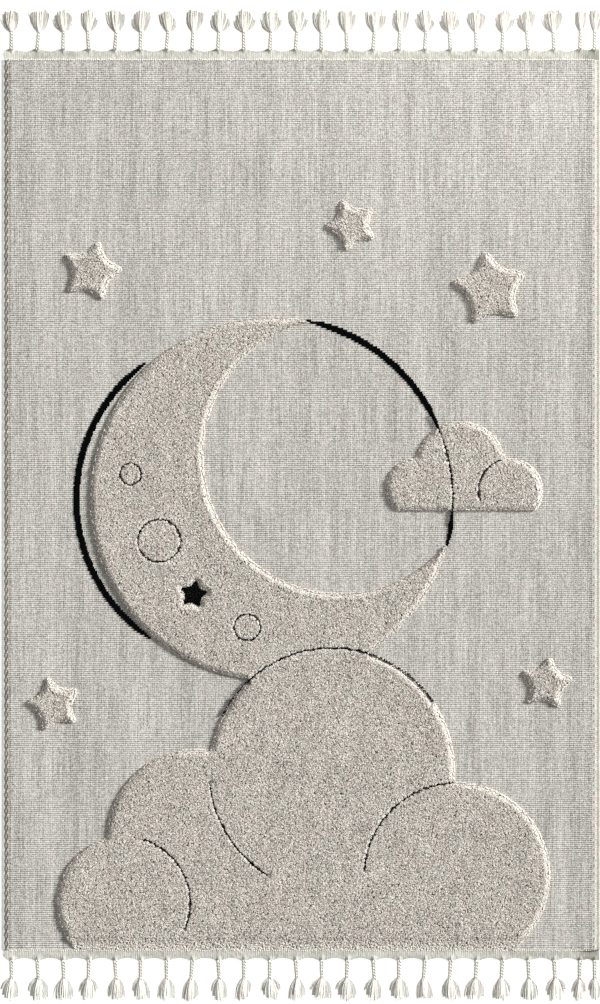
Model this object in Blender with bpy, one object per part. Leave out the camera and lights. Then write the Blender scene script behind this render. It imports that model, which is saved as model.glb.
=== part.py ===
"""A flat kids rug lying on the floor: a low ribbed ground, raised cut-pile figures (a crescent moon behind a
bank of cloud, a small cloud and stars), woven headings, overcast sides and a braided tassel fringe at each end.

Metres, +Z up. The origin is on the floor under the middle of the rug, +X to the right and +Y towards the bare
end of the design.
"""

import math
import random

import bmesh
import bpy
from mathutils import Matrix, Vector

# Driving sizes of the rug
RUG_WIDTH = 1.000
FIELD_LENGTH = 1.494
GROUND_HEIGHT = 0.006
PILE_HEIGHT = 0.013
BINDING_WIDTH = 0.008
BINDING_HEIGHT = 0.0072
BINDING_FLAT = 0.0006
BINDING_SIDES = 12
BINDING_SWAY = 0.0003
BINDING_WAVES = 5
BINDING_CUTS = 19
BAND_LENGTH = 0.0140
BAND_HEIGHT = 0.0030
BAND_EASE = 0.0008
PART_GAP = 0.0003
SMOOTH_BELOW = math.radians(40.0)

# The high pile
ROLL = 0.0042
ROLL_STEPS = 2
CORNER_ROUND = 0.007
PUFF_CORNER_ROUND = 0.0045
CORNER_STEPS = 3
SHARP_CORNER = math.radians(24.0)
GROOVE_WIDTH = 0.0034
GROOVE_FLOOR = GROUND_HEIGHT + 0.0006
TRIM_SPARE = 0.030
ARC_SAG = 0.0003

# The fringe
TASSELS = 24
TASSEL_PITCH = 0.0434
FIRST_TASSEL = 0.0145
CORNER_TASSEL = 0.0060
FRINGE_REACH = 0.5035
ROOT_STRIP = 0.0032
ROOT_SWELL = 0.0026
ROOT_HEIGHT = 0.0062
STEM_LENGTH = 0.0270
STEM_WIDTH = 0.0094
STEM_HEIGHT = 0.0080
STEM_DRIFT = 0.0028
# Along a stem: share of its length, share of its full width, for the crossings of its braid
STEM_SWELLS = ((0.25, 1.0), (0.50, 0.78), (0.75, 1.0), (1.0, 0.74))
STEM_CROWN = 0.55
BUNDLE_LENGTH = 0.0400
BUNDLE_WIDTH = 0.0315
BUNDLE_SPREAD = (0.84, 1.10)
BUNDLE_ROOM = 0.80
BUNDLE_LEAN = 0.0030
BELLY_AT = 0.45
BELLY_WIDTH = 0.46
BELLY_HEIGHT = 0.0064
BELLY_CROWN = 0.0022
LOCKS = 6
LOCK_HEIGHT = 0.0032
LOCK_CROWN = 0.50
LOCK_GAP = 0.0011
LOCK_SLANT = 0.0010
FORK_AT = (0.22, 0.32)
FORK_WIDTH = 0.42
FORK_CROWN = 0.0016
SHORTER_OUTSIDE = 0.10
UNEVEN_ENDS = 0.13
TOP_SEED = 11
BOTTOM_SEED = 23

# Circles that the figures are drawn from: middle x, middle y, radius
CIRCLES = {
    "moon": (-0.050, 0.010, 0.305),
    "moon_opening": (0.067, 0.083, 0.232),
    "bank_far_left": (-0.298, -0.668, 0.112),
    "bank_left": (-0.176, -0.560, 0.150),
    "bank_top": (0.052, -0.446, 0.206),
    "bank_right": (0.262, -0.622, 0.156),
    "puff_left": (0.192, 0.028, 0.050),
    "puff_top": (0.268, 0.064, 0.076),
    "puff_right": (0.352, 0.024, 0.054),
    "crater_large": (-0.238, -0.060, 0.036),
    "crater_small": (-0.286, 0.052, 0.018),
    "crater_low": (-0.090, -0.205, 0.022),
}
CLOUD_BANK = ("bank_far_left", "bank_left", "bank_top", "bank_right")
SMALL_CLOUD = ("puff_left", "puff_top", "puff_right")
SMALL_CLOUD_BASE = -0.010
CRATERS = ("crater_large", "crater_small", "crater_low")
CRATER_STEPS = 24

# Pile heights by figure: where two figures meet, the nearer one stands a hair proud
MOON_TOP = PILE_HEIGHT - 0.0004
SMALL_CLOUD_TOP = PILE_HEIGHT - 0.0002
STAR_TOP = PILE_HEIGHT - 0.0006

# Carved lines that follow a circle: circle, first and last angle in degrees
CARVED_ARCS = (
    ("moon", -8.0, 28.0),
    ("bank_top", 34.0, 153.0),
    ("bank_top", 186.0, 238.0),
    ("bank_far_left", -22.0, 72.0),
    ("bank_right", 92.0, 176.0),
    ("puff_right", 108.0, 196.0),
)

# Raised stars: middle x, middle y, reach of a point, turn in degrees
STARS = (
    (0.318, 0.362, 0.072, 8.0),
    (-0.352, 0.392, 0.058, -14.0),
    (0.085, 0.470, 0.050, 22.0),
    (-0.415, -0.335, 0.052, 14.0),
    (0.412, -0.300, 0.050, -8.0),
)
STAR_POINTS = 5
STAR_WAIST = 0.52
STAR_ROUND = 0.24
SUNK_STAR = (-0.180, -0.150, 0.025, -10.0)

# Colours, roughness: linear values
COLOURS = {
    "ground weave": ((0.53, 0.51, 0.46), 0.95),
    "heading weave": ((0.66, 0.65, 0.58), 0.92),
    "dark overcast yarn": ((0.30, 0.27, 0.24), 0.95),
    "pale overcast yarn": ((0.62, 0.59, 0.53), 0.95),
    "tassel yarn": ((0.82, 0.81, 0.75), 0.90),
}


def clear_scene():
    for old in list(bpy.data.objects):
        bpy.data.objects.remove(old, do_unlink=True)


def material(name):
    colour, roughness = COLOURS[name]
    made = bpy.data.materials.new(name)
    made.use_nodes = True
    made.diffuse_color = (*colour, 1.0)
    shader = made.node_tree.nodes["Principled BSDF"]
    shader.inputs["Base Color"].default_value = (*colour, 1.0)
    shader.inputs["Roughness"].default_value = roughness
    shader.inputs["Metallic"].default_value = 0.0
    return made


def finished(bm, name, finish=None):
    """Turns the bmesh into an object with its faces outwards; without a finish it is a hidden working shape."""
    bmesh.ops.recalc_face_normals(bm, faces=bm.faces[:])
    mesh = bpy.data.meshes.new(name)
    bm.to_mesh(mesh)
    bm.free()
    piece = bpy.data.objects.new(name, mesh)
    bpy.context.scene.collection.objects.link(piece)
    if finish is None:
        piece.hide_render = True
        piece.display_type = "WIRE"
    else:
        mesh.materials.append(material(finish))
    return piece


# Outlines, as lists of plan points

def on_circle(name, angle, grown=0.0):
    x, y, radius = CIRCLES[name]
    return Vector((x + (radius + grown) * math.cos(angle), y + (radius + grown) * math.sin(angle)))


def arc(name, start, end, grown=0.0):
    """Points along a named circle from one angle to another, both included, no chord far inside the round."""
    chord = 2 * math.acos(1.0 - ARC_SAG / CIRCLES[name][2])
    steps = max(2, math.ceil(abs(end - start) / chord))
    return [on_circle(name, start + (end - start) * k / steps, grown) for k in range(steps + 1)]


def crossing(name, other, side):
    """Where two circles cross, as an angle on each; side is 1 for the crossing that lies anticlockwise of the
    other circle's middle, seen from the named one's, and -1 for the one that lies clockwise."""
    middle, far = Vector(CIRCLES[name][:2]), Vector(CIRCLES[other][:2])
    radius, far_radius = CIRCLES[name][2], CIRCLES[other][2]
    apart = far - middle
    opening = math.acos((apart.length_squared + radius**2 - far_radius**2) / (2 * apart.length * radius))
    angle = math.atan2(apart.y, apart.x) + side * opening
    meets = on_circle(name, angle) - far
    return angle, math.atan2(meets.y, meets.x)


def crescent_outline():
    """The moon's outer limb anticlockwise from its upper horn to its lower one, then back along the opening."""
    upper, upper_in = crossing("moon", "moon_opening", 1)
    lower, lower_in = crossing("moon", "moon_opening", -1)
    outer = arc("moon", upper, lower + math.tau)
    inner = arc("moon_opening", lower_in, upper_in - math.tau)
    return outer + inner[1:-1]


def cloud_outline(puffs, base):
    """Clockwise from the left end of a cloud's base over its puffs, each meeting the next where they cross."""
    outline = []
    y, radius = CIRCLES[puffs[0]][1:]
    start = math.pi - math.asin((base - y) / radius)
    for puff, following in zip(puffs, puffs[1:] + (None,)):
        if following:
            end, entry = crossing(puff, following, 1)
        else:
            y, radius = CIRCLES[puff][1:]
            end, entry = math.asin((base - y) / radius), None
        while end > start:
            end -= math.tau
        while end < start - math.tau:
            end += math.tau
        outline += arc(puff, start, end)[:-1]
        start = entry
    return outline + [on_circle(puffs[-1], end)]


def star_outline(x, y, reach, turn):
    outline = []
    for k in range(2 * STAR_POINTS):
        angle = math.radians(turn + 90.0) + math.pi * k / STAR_POINTS
        length = reach * (STAR_WAIST if k % 2 else 1.0)
        outline.append(Vector((x + length * math.cos(angle), y + length * math.sin(angle))))
    return outline


# Shapes of the high pile

def prism(outline, low, high):
    """A closed bmesh of the plan outline carried up from low to high."""
    bm = bmesh.new()
    plan = bm.faces.new([bm.verts.new((point.x, point.y, low)) for point in outline])
    raised = bmesh.ops.extrude_face_region(bm, geom=[plan], use_keep_orig=True)["geom"]
    top_points = [item for item in raised if isinstance(item, bmesh.types.BMVert)]
    bmesh.ops.translate(bm, verts=top_points, vec=(0.0, 0.0, high - low))
    bmesh.ops.recalc_face_normals(bm, faces=bm.faces[:])
    return bm


def round_corners(bm, size):
    """Rounds the upright edges where the outline turns sharply."""
    upright = [edge for edge in bm.edges if abs(edge.verts[0].co.z - edge.verts[1].co.z) > PART_GAP]
    sharp = [edge for edge in upright if edge.calc_face_angle() > SHARP_CORNER]
    bmesh.ops.bevel(
        bm, geom=sharp, offset=size, segments=CORNER_STEPS, profile=0.5, affect="EDGES", material=-1,
        clamp_overlap=True,
    )


def pile_figure(name, outline, top, corner=CORNER_ROUND):
    """One raised figure, its foot inside the ground and its top edge rolled over as cut pile rolls."""
    bm = prism(outline, GROUND_HEIGHT / 2, top)
    round_corners(bm, corner)
    rim = [edge for edge in bm.edges if min(point.co.z for point in edge.verts) > top - PART_GAP]
    bmesh.ops.bevel(
        bm, geom=rim, offset=ROLL, segments=ROLL_STEPS, profile=0.5, affect="EDGES", material=-1,
        clamp_overlap=True,
    )
    return finished(bm, name)


def groove(name, circle, start, end):
    """A carved line along part of a circle."""
    half = GROOVE_WIDTH / 2
    first, last = math.radians(start), math.radians(end)
    outline = arc(circle, first, last, half) + arc(circle, last, first, -half)
    return finished(prism(outline, GROOVE_FLOOR, PILE_HEIGHT + ROLL), name)


def round_groove(name, circle):
    """A carved line all the way round a circle."""
    x, y, radius = CIRCLES[circle]
    bm = bmesh.new()
    for size in (radius + GROOVE_WIDTH / 2, radius - GROOVE_WIDTH / 2):
        bmesh.ops.create_circle(bm, segments=CRATER_STEPS, radius=size)
    ring = bmesh.ops.bridge_loops(bm, edges=bm.edges[:])["faces"]
    raised = bmesh.ops.extrude_face_region(bm, geom=ring, use_keep_orig=True)["geom"]
    top_points = [item for item in raised if isinstance(item, bmesh.types.BMVert)]
    bmesh.ops.translate(bm, verts=top_points, vec=(0.0, 0.0, PILE_HEIGHT + ROLL - GROOVE_FLOOR))
    bmesh.ops.translate(bm, verts=bm.verts[:], vec=(x, y, GROOVE_FLOOR))
    return finished(bm, name)


def block(size, middle):
    bm = bmesh.new()
    bmesh.ops.create_cube(bm, size=1.0)
    bmesh.ops.scale(bm, verts=bm.verts[:], vec=size)
    bmesh.ops.translate(bm, verts=bm.verts[:], vec=middle)
    return bm


def work_group(name, shapes):
    group = bpy.data.collections.new(name)
    bpy.context.scene.collection.children.link(group)
    for shape in shapes:
        bpy.context.scene.collection.objects.unlink(shape)
        group.objects.link(shape)
    return group


def combine(piece, name, operation, group):
    step = piece.modifiers.new(name, "BOOLEAN")
    step.operation = operation
    step.solver = "EXACT"
    step.operand_type = "COLLECTION"
    step.collection = group


def rug_body():
    """The field: woven a little long, with the pile figures on it, then carved and trimmed to length."""
    width = RUG_WIDTH - 2 * (BINDING_WIDTH + PART_GAP)
    low_end = -FIELD_LENGTH / 2
    field = block(
        (width, FIELD_LENGTH + TRIM_SPARE, GROUND_HEIGHT), (0.0, -TRIM_SPARE / 2, GROUND_HEIGHT / 2)
    )
    body = finished(field, "rug_body", "ground weave")
    figures = [
        pile_figure("moon_shape", crescent_outline(), MOON_TOP),
        pile_figure("cloud_bank_shape", cloud_outline(CLOUD_BANK, low_end - TRIM_SPARE / 2), PILE_HEIGHT),
        pile_figure(
            "small_cloud_shape", cloud_outline(SMALL_CLOUD, SMALL_CLOUD_BASE), SMALL_CLOUD_TOP, PUFF_CORNER_ROUND
        ),
    ]
    for k, star in enumerate(STARS):
        figures.append(pile_figure(f"star_shape_{k + 1}", star_outline(*star), STAR_TOP, STAR_ROUND * star[2]))
    cuts = [groove(f"groove_{k + 1}", *row) for k, row in enumerate(CARVED_ARCS)]
    cuts += [round_groove(f"groove_{crater}", crater) for crater in CRATERS]
    sunk = prism(star_outline(*SUNK_STAR), GROOVE_FLOOR, PILE_HEIGHT + ROLL)
    round_corners(sunk, STAR_ROUND * SUNK_STAR[2])
    cuts.append(finished(sunk, "sunk_star"))
    knife = block(
        (RUG_WIDTH + TRIM_SPARE, TRIM_SPARE * 2, PILE_HEIGHT * 4), (0.0, low_end - TRIM_SPARE, PILE_HEIGHT)
    )
    cuts.append(finished(knife, "trim_knife"))
    combine(body, "pile", "UNION", work_group("pile figures", figures))
    combine(body, "carving", "DIFFERENCE", work_group("carving", cuts))
    return body


def end_band(name, side):
    """A flat heading tape at one end, its corners a little rounded."""
    middle = side * (FIELD_LENGTH / 2 + PART_GAP + BAND_LENGTH / 2)
    bm = block((RUG_WIDTH, BAND_LENGTH, BAND_HEIGHT), (0.0, middle, BAND_HEIGHT / 2))
    upright = [edge for edge in bm.edges if abs(edge.verts[0].co.z - edge.verts[1].co.z) > PART_GAP]
    corners = [edge for edge in upright if abs(edge.verts[0].co.y) > abs(middle)]
    bmesh.ops.bevel(
        bm, geom=corners, offset=BAND_HEIGHT, segments=CORNER_STEPS, profile=0.5, affect="EDGES", material=-1
    )
    upper = [edge for edge in bm.edges if min(point.co.z for point in edge.verts) > BAND_HEIGHT - PART_GAP]
    bmesh.ops.bevel(
        bm, geom=upper, offset=BAND_EASE, segments=1, profile=0.5, affect="EDGES", material=-1
    )
    return finished(bm, name, "heading weave")


def side_binding(name, side, finish):
    """The overcast edge: a rounded cord of wrapped yarn that sways a little, flat where it lies on the floor."""
    bm = bmesh.new()
    bmesh.ops.create_cone(
        bm, cap_ends=True, segments=BINDING_SIDES, radius1=0.5, radius2=0.5, depth=FIELD_LENGTH
    )
    long_edges = [edge for edge in bm.edges if edge.calc_length() > FIELD_LENGTH / 2]
    bmesh.ops.subdivide_edges(bm, edges=long_edges, cuts=BINDING_CUTS)
    bmesh.ops.rotate(bm, verts=bm.verts[:], matrix=Matrix.Rotation(math.radians(90.0), 3, "X"))
    squeeze = (BINDING_WIDTH - 2 * BINDING_SWAY, 1.0, BINDING_HEIGHT + BINDING_FLAT)
    bmesh.ops.scale(bm, verts=bm.verts[:], vec=squeeze)
    for point in bm.verts:
        point.co.x += BINDING_SWAY * math.sin(point.co.y * BINDING_WAVES * math.tau / FIELD_LENGTH)
        point.co.z = max(0.0, point.co.z + (BINDING_HEIGHT - BINDING_FLAT) / 2)
    bmesh.ops.translate(bm, verts=bm.verts[:], vec=(side * (RUG_WIDTH - BINDING_WIDTH) / 2, 0.0, 0.0))
    binding = finished(bm, name, finish)
    binding.data.shade_smooth()
    binding.data.set_sharp_from_angle(angle=SMOOTH_BELOW)
    return binding


# The fringe: a flat plan of strip, stems and locks, each point of which also knows where its crown lies

class Plan:
    """Floor points of the fringe, each with the offset to the crown point above it; side is 1 for the upper
    end and -1 for the lower one, where the plan is the mirror image."""

    def __init__(self, side):
        self.side = side
        self.bm = bmesh.new()
        self.crown = self.bm.verts.layers.float_vector.new("crown")

    def point(self, x, y, inward, back, height):
        """A floor point; its crown lies inward along X, back towards the rug, and height above the floor."""
        made = self.bm.verts.new((x, self.side * y, 0.0))
        made[self.crown] = (inward, -self.side * back, height)
        return made

    def face(self, points):
        self.bm.faces.new(points)

    def raise_crown(self):
        """Carries the whole plan up to its crown and leaves the flat underside where it is."""
        raised = bmesh.ops.extrude_face_region(self.bm, geom=self.bm.faces[:], use_keep_orig=True)["geom"]
        for item in raised:
            if isinstance(item, bmesh.types.BMVert):
                item.co += item[self.crown]


def tassel_places():
    """Where the tassels are rooted along X: an even row, and one more at the right corner."""
    start = -RUG_WIDTH / 2 + FIRST_TASSEL
    row = [start + k * TASSEL_PITCH for k in range(TASSELS - 1)]
    return row + [RUG_WIDTH / 2 - CORNER_TASSEL]


def stem_sides(plan, root_x, neck_x, root_y):
    """The left and right side of a braided stem from its root to its neck, wider at each crossing."""
    left, right = [], []
    for share, width in STEM_SWELLS:
        x, y = root_x + (neck_x - root_x) * share, root_y + STEM_LENGTH * share
        half = STEM_WIDTH / 2 * width
        left.append(plan.point(x - half, y, half * (1 - STEM_CROWN), 0.0, STEM_HEIGHT))
        right.append(plan.point(x + half, y, -half * (1 - STEM_CROWN), 0.0, STEM_HEIGHT))
    return left, right


def bundle_outline(plan, neck_x, neck_y, flare, lean, lengths):
    """The loose yarn as separate locks that part below the neck, from its left side round to its right."""
    slot = flare / LOCKS
    half = (slot - LOCK_GAP) / 2
    belly_x, belly_y = neck_x + lean / 2, neck_y + BUNDLE_LENGTH * BELLY_AT
    points = [plan.point(belly_x - flare * BELLY_WIDTH, belly_y, BELLY_CROWN, 0.0, BELLY_HEIGHT)]
    for k, length in enumerate(lengths):
        offset = (k + 0.5) * slot - flare / 2
        tip_x, tip_y = neck_x + lean + offset, neck_y + BUNDLE_LENGTH * length
        crown = half * LOCK_CROWN
        points.append(plan.point(tip_x - half, tip_y, crown, LOCK_SLANT, LOCK_HEIGHT))
        points.append(plan.point(tip_x + half, tip_y - LOCK_SLANT, -crown, LOCK_SLANT, LOCK_HEIGHT))
        if k + 1 < LOCKS:
            fork_x = neck_x + (lean + offset + slot / 2) * FORK_WIDTH
            fork_y = neck_y + BUNDLE_LENGTH * FORK_AT[k % 2]
            points.append(plan.point(fork_x, fork_y, 0.0, FORK_CROWN, STEM_HEIGHT))
    points.append(plan.point(belly_x + flare * BELLY_WIDTH, belly_y, -BELLY_CROWN, 0.0, BELLY_HEIGHT))
    return points


def lock_lengths(chance):
    """All lock lengths at one end as shares of the bundle's, the middle ones longer, the longest exactly 1."""
    middle = (LOCKS - 1) / 2
    rows = []
    for _ in range(TASSELS):
        shorter = [SHORTER_OUTSIDE * ((k - middle) / middle) ** 2 for k in range(LOCKS)]
        rows.append([1.0 - less - chance.uniform(0.0, UNEVEN_ENDS) for less in shorter])
    longest = max(length for row in rows for length in row)
    return [[length / longest for length in row] for row in rows]


def fringe(name, side, seed):
    """One end's tassels, fused only at their roots into a narrow scalloped strip along the heading's edge."""
    chance = random.Random(seed)
    plan = Plan(side)
    inner_y = FIELD_LENGTH / 2 + BAND_LENGTH + 2 * PART_GAP
    edge_y = inner_y + ROOT_STRIP
    root_y = edge_y + ROOT_SWELL
    end_x = RUG_WIDTH / 2 - PART_GAP
    places = tassel_places()
    lengths = lock_lengths(chance)
    half = STEM_WIDTH / 2 * STEM_SWELLS[1][1]

    def strip_pair(x, outer_y, inward, height):
        """A point of the strip on the heading's side and the one across from it."""
        return plan.point(x, inner_y, 0.0, 0.0, BAND_HEIGHT), plan.point(x, outer_y, inward, 0.0, height)

    inner, outer = strip_pair(-end_x, edge_y, 0.0, BAND_HEIGHT)
    for k, x in enumerate(places):
        room = min(x - other if other < x else other - x for other in places if other != x)
        flare = min(BUNDLE_WIDTH * chance.uniform(*BUNDLE_SPREAD), BUNDLE_ROOM * room)
        neck_x = x + chance.uniform(-STEM_DRIFT, STEM_DRIFT)
        lean = chance.uniform(-BUNDLE_LEAN, BUNDLE_LEAN)
        if k in (0, TASSELS - 1):
            neck_x = x
            outward = math.copysign(1.0, x)
            lean = outward * (FRINGE_REACH + LOCK_GAP / 2 - flare / 2 - abs(x))
        left_in, left_out = strip_pair(x - half, root_y, half / 2, ROOT_HEIGHT)
        right_in, right_out = strip_pair(x + half, root_y, -half / 2, ROOT_HEIGHT)
        plan.face([inner, left_in, left_out, outer])
        plan.face([left_in, right_in, right_out, left_out])
        left, right = stem_sides(plan, x, neck_x, root_y)
        bundle = bundle_outline(plan, neck_x, root_y + STEM_LENGTH, flare, lean, lengths[k])
        plan.face([left_out, *left, *bundle, *reversed(right), right_out])
        if k + 1 < TASSELS:
            inner, outer = strip_pair((x + places[k + 1]) / 2, edge_y, 0.0, BAND_HEIGHT)
        else:
            inner, outer = strip_pair(end_x, edge_y, 0.0, BAND_HEIGHT)
        plan.face([right_in, inner, outer, right_out])
    plan.raise_crown()
    return finished(plan.bm, name, "tassel yarn")


def build():
    clear_scene()
    rug_body()
    end_band("end_band_top", 1)
    end_band("end_band_bottom", -1)
    side_binding("side_binding_left", -1, "dark overcast yarn")
    side_binding("side_binding_right", 1, "pale overcast yarn")
    fringe("fringe_top", 1, TOP_SEED)
    fringe("fringe_bottom", -1, BOTTOM_SEED)


build()
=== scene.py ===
# %% [markdown]
# # A kids rug with raised pile, from the loom to the photograph
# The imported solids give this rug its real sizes: a woven field of 1.00 by 1.49 m, pile figures that stand 7
# mm over a low ribbed ground, two heading tapes, two overcast sides and a braided fringe. This script
# dresses them. Each step explains a piece as a weaver would see it and then makes it, in metres, in the
# solids' own place.

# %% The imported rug
import itertools
import math
import random

import bmesh
import bpy
from mathutils import Euler, Matrix, Vector, noise
from mathutils.bvhtree import BVHTree


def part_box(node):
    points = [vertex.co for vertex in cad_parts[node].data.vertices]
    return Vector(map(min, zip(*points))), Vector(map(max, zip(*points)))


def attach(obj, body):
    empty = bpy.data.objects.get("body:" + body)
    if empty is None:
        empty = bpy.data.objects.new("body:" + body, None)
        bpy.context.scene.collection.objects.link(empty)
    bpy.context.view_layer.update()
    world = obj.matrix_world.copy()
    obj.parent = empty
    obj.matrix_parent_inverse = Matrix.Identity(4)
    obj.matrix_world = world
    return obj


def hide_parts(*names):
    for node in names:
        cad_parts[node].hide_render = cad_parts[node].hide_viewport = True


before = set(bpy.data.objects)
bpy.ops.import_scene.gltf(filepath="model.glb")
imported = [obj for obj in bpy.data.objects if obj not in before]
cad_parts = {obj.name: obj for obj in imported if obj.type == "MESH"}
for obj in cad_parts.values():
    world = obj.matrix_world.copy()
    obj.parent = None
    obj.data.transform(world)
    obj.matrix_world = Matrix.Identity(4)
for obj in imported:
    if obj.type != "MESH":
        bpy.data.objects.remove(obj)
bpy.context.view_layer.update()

field_low, field_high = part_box("rug_body")

# %% [markdown]
# ## Camera
# The rug was photographed from straight above, on white. A long lens from about six metres gives the same
# flat view: the picture is 600 by 1004 pixels and each of them covers 1.681 mm of the rug.

# %% Camera
PIXEL = 0.001681
PICTURE_HEIGHT = 1004 * PIXEL
PICTURE_MIDDLE = (-0.0017, 0.0050)
SENSOR = 24.0
LENS = 85.0

camera = bpy.data.cameras.new("camera")
camera.sensor_fit = "VERTICAL"
camera.sensor_height = SENSOR
camera.lens = LENS
viewer = bpy.data.objects.new("camera", camera)
viewer.location = (*PICTURE_MIDDLE, PICTURE_HEIGHT * LENS / SENSOR)
bpy.context.scene.collection.objects.link(viewer)
bpy.context.scene.camera = viewer
print("camera height", round(viewer.location.z, 3))

# %% [markdown]
# ## Light
# Pile shows only by its shading. In the photograph the right and upper edges of each figure are bright and
# a shadow nearly twice as wide as the pile is high lies on their left. So the key light stands low at the
# right and a little to the top, and the rest is even light from all round. A sun gives the whole rug the
# same slant; its angle is wide enough for soft shadow edges. The upper end is a little brighter than the
# rest, most of all at the right, and a small soft lamp over that end adds it.

# %% Key light, small lamp and even light
KEY_COMPASS = math.radians(24.0)
KEY_HEIGHT = math.radians(22.5)
KEY_STRENGTH = 6.95
KEY_SOFTNESS = math.radians(14.0)
EVEN_STRENGTH = 0.39

key = bpy.data.lights.new("key", "SUN")
key.energy = KEY_STRENGTH
key.angle = KEY_SOFTNESS
key_light = bpy.data.objects.new("key", key)
key_light.rotation_euler = Euler((0.0, math.pi / 2 - KEY_HEIGHT, KEY_COMPASS))
bpy.context.scene.collection.objects.link(key_light)

LAMP_PLACE = (0.44, 1.02, 0.58)
LAMP_AIM = (0.36, 0.76, 0.0)
LAMP_SIZE = 0.5
LAMP_POWER = 1.8

lamp = bpy.data.lights.new("corner lamp", "AREA")
lamp.energy = LAMP_POWER
lamp.size = LAMP_SIZE
corner_lamp = bpy.data.objects.new("corner lamp", lamp)
corner_lamp.location = LAMP_PLACE
corner_lamp.rotation_euler = (Vector(LAMP_AIM) - Vector(LAMP_PLACE)).to_track_quat("-Z", "Y").to_euler()
bpy.context.scene.collection.objects.link(corner_lamp)

world = bpy.data.worlds.new("even light")
world.use_nodes = True
world.node_tree.nodes["Background"].inputs["Color"].default_value = (1.0, 1.0, 1.0, 1.0)
world.node_tree.nodes["Background"].inputs["Strength"].default_value = EVEN_STRENGTH
bpy.context.scene.world = world
bpy.context.scene.view_settings.view_transform = "Standard"
print("key light towards", [round(c, 2) for c in key_light.rotation_euler.to_matrix() @ Vector((0, 0, 1))])

# %% [markdown]
# ## Helpers for materials
# Every finish here is a Principled shader fed by a few procedural nodes. `add` makes one node and plugs in
# its values: a socket is linked, anything else is typed in. `grain` is a noise whose lumps have a size in
# metres along each axis, so a streak is simply a lump that is long in one direction.

# %% A node, and a material
def add(tree, kind, values=None, **settings):
    made = tree.nodes.new(kind)
    for name, value in settings.items():
        setattr(made, name, value)
    for socket, value in (values or {}).items():
        if isinstance(value, bpy.types.NodeSocket):
            tree.links.new(value, made.inputs[socket])
        else:
            made.inputs[socket].default_value = value
    return made


def new_finish(name, roughness, sheen):
    """A material with its tree, its shader and the object coordinates that its pattern reads."""
    finish = bpy.data.materials.new(name)
    finish.use_nodes = True
    tree = finish.node_tree
    shader = tree.nodes["Principled BSDF"]
    shader.inputs["Roughness"].default_value = roughness
    shader.inputs["Sheen Weight"].default_value = sheen
    shader.inputs["Sheen Roughness"].default_value = 0.6
    shader.inputs["Specular IOR Level"].default_value = 0.2
    place = add(tree, "ShaderNodeTexCoord").outputs["Object"]
    return finish, tree, shader, place


# %% Numbers: ranges, sums and noise
# Nearly all values of a noise lie between these two
NOISE_RANGE = (0.3, 0.7)


def reckon(tree, operation, *terms):
    """One Math node on sockets and numbers."""
    return add(tree, "ShaderNodeMath", dict(enumerate(terms)), operation=operation).outputs["Value"]


def times(tree, first, second):
    """The product of two sockets or numbers."""
    return reckon(tree, "MULTIPLY", first, second)


def total(tree, first, *rest):
    """The sum of sockets and numbers."""
    for term in rest:
        first = reckon(tree, "ADD", first, term)
    return first


def rescaled(tree, value, old, new, clamp=True):
    """The value carried over from the range old to the range new."""
    ends = {"From Min": old[0], "From Max": old[1], "To Min": new[0], "To Max": new[1]}
    return add(tree, "ShaderNodeMapRange", {"Value": value, **ends}, clamp=clamp).outputs["Result"]


def axis(tree, place, letter):
    """One coordinate of a place."""
    return add(tree, "ShaderNodeSeparateXYZ", {"Vector": place}).outputs[letter]


def point_value(tree, name):
    """A number that the piece's points carry."""
    return add(tree, "ShaderNodeAttribute", attribute_name=name).outputs["Fac"]


def grain(tree, place, size, detail=1.0, contrast=1.0):
    """Noise about 0 whose lumps measure size = (x, y, z) in metres."""
    scaled = add(tree, "ShaderNodeMapping", {"Vector": place, "Scale": [1.0 / length for length in size]})
    scaled = scaled.outputs["Vector"]
    lumps = add(tree, "ShaderNodeTexNoise", {"Vector": scaled, "Scale": 1.0, "Detail": detail}).outputs["Fac"]
    return rescaled(tree, lumps, NOISE_RANGE, (-contrast, contrast), clamp=False)


def one_each(tree, place, size):
    """A random number from 0 to 1 for every cell of size (x, y) metres."""
    cell = add(tree, "ShaderNodeVectorMath", {0: place, 1: (*size, 1.0)}, operation="SNAP")
    return add(tree, "ShaderNodeTexWhiteNoise", {"Vector": cell.outputs["Vector"]}).outputs["Value"]


# %% Colour and bumps
TINT_SIZE = (0.024, 0.032, 0.1)


def between(tree, share, dark, light):
    """A colour that runs from dark to light as share runs from 0 to 1."""
    ramp = add(tree, "ShaderNodeValToRGB", {"Fac": share})
    ramp.color_ramp.elements[0].color = (*dark, 1.0)
    ramp.color_ramp.elements[1].color = (*light, 1.0)
    return ramp.outputs["Color"]


def tinted(tree, place, colour, amount):
    """The colour, drifting a little towards pink here and green there."""
    drift = total(tree, grain(tree, place, TINT_SIZE, detail=2.0, contrast=0.9), 0.5)
    tint = between(tree, drift, (1.0 - amount, 1.0, 1.0 - amount / 2), (1.0, 1.0 - amount, 1.0 - amount))
    mixed = add(
        tree, "ShaderNodeMix", {"Factor": 1.0, 6: colour, 7: tint}, data_type="RGBA", blend_type="MULTIPLY"
    )
    return mixed.outputs[2]


def painted(tree, shader, colour, height, distance):
    """Gives the shader its colour, and bumps that are up to distance metres high."""
    tree.links.new(colour, shader.inputs["Base Color"])
    bump = add(tree, "ShaderNodeBump", {"Height": height, "Distance": distance, "Strength": 1.0})
    tree.links.new(bump.outputs["Normal"], shader.inputs["Normal"])


# %% [markdown]
# ## Helpers for pieces
# A piece is a bmesh that becomes an object at the origin, with its place in its points. It rides on the
# rug's one body, has its own finish and stands for the solid it covers.

# %% Meshes and pieces
def to_mesh(bm, name):
    """The bmesh as a mesh; the bmesh is freed."""
    mesh = bpy.data.meshes.new(name)
    bm.to_mesh(mesh)
    bm.free()
    return mesh


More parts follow.
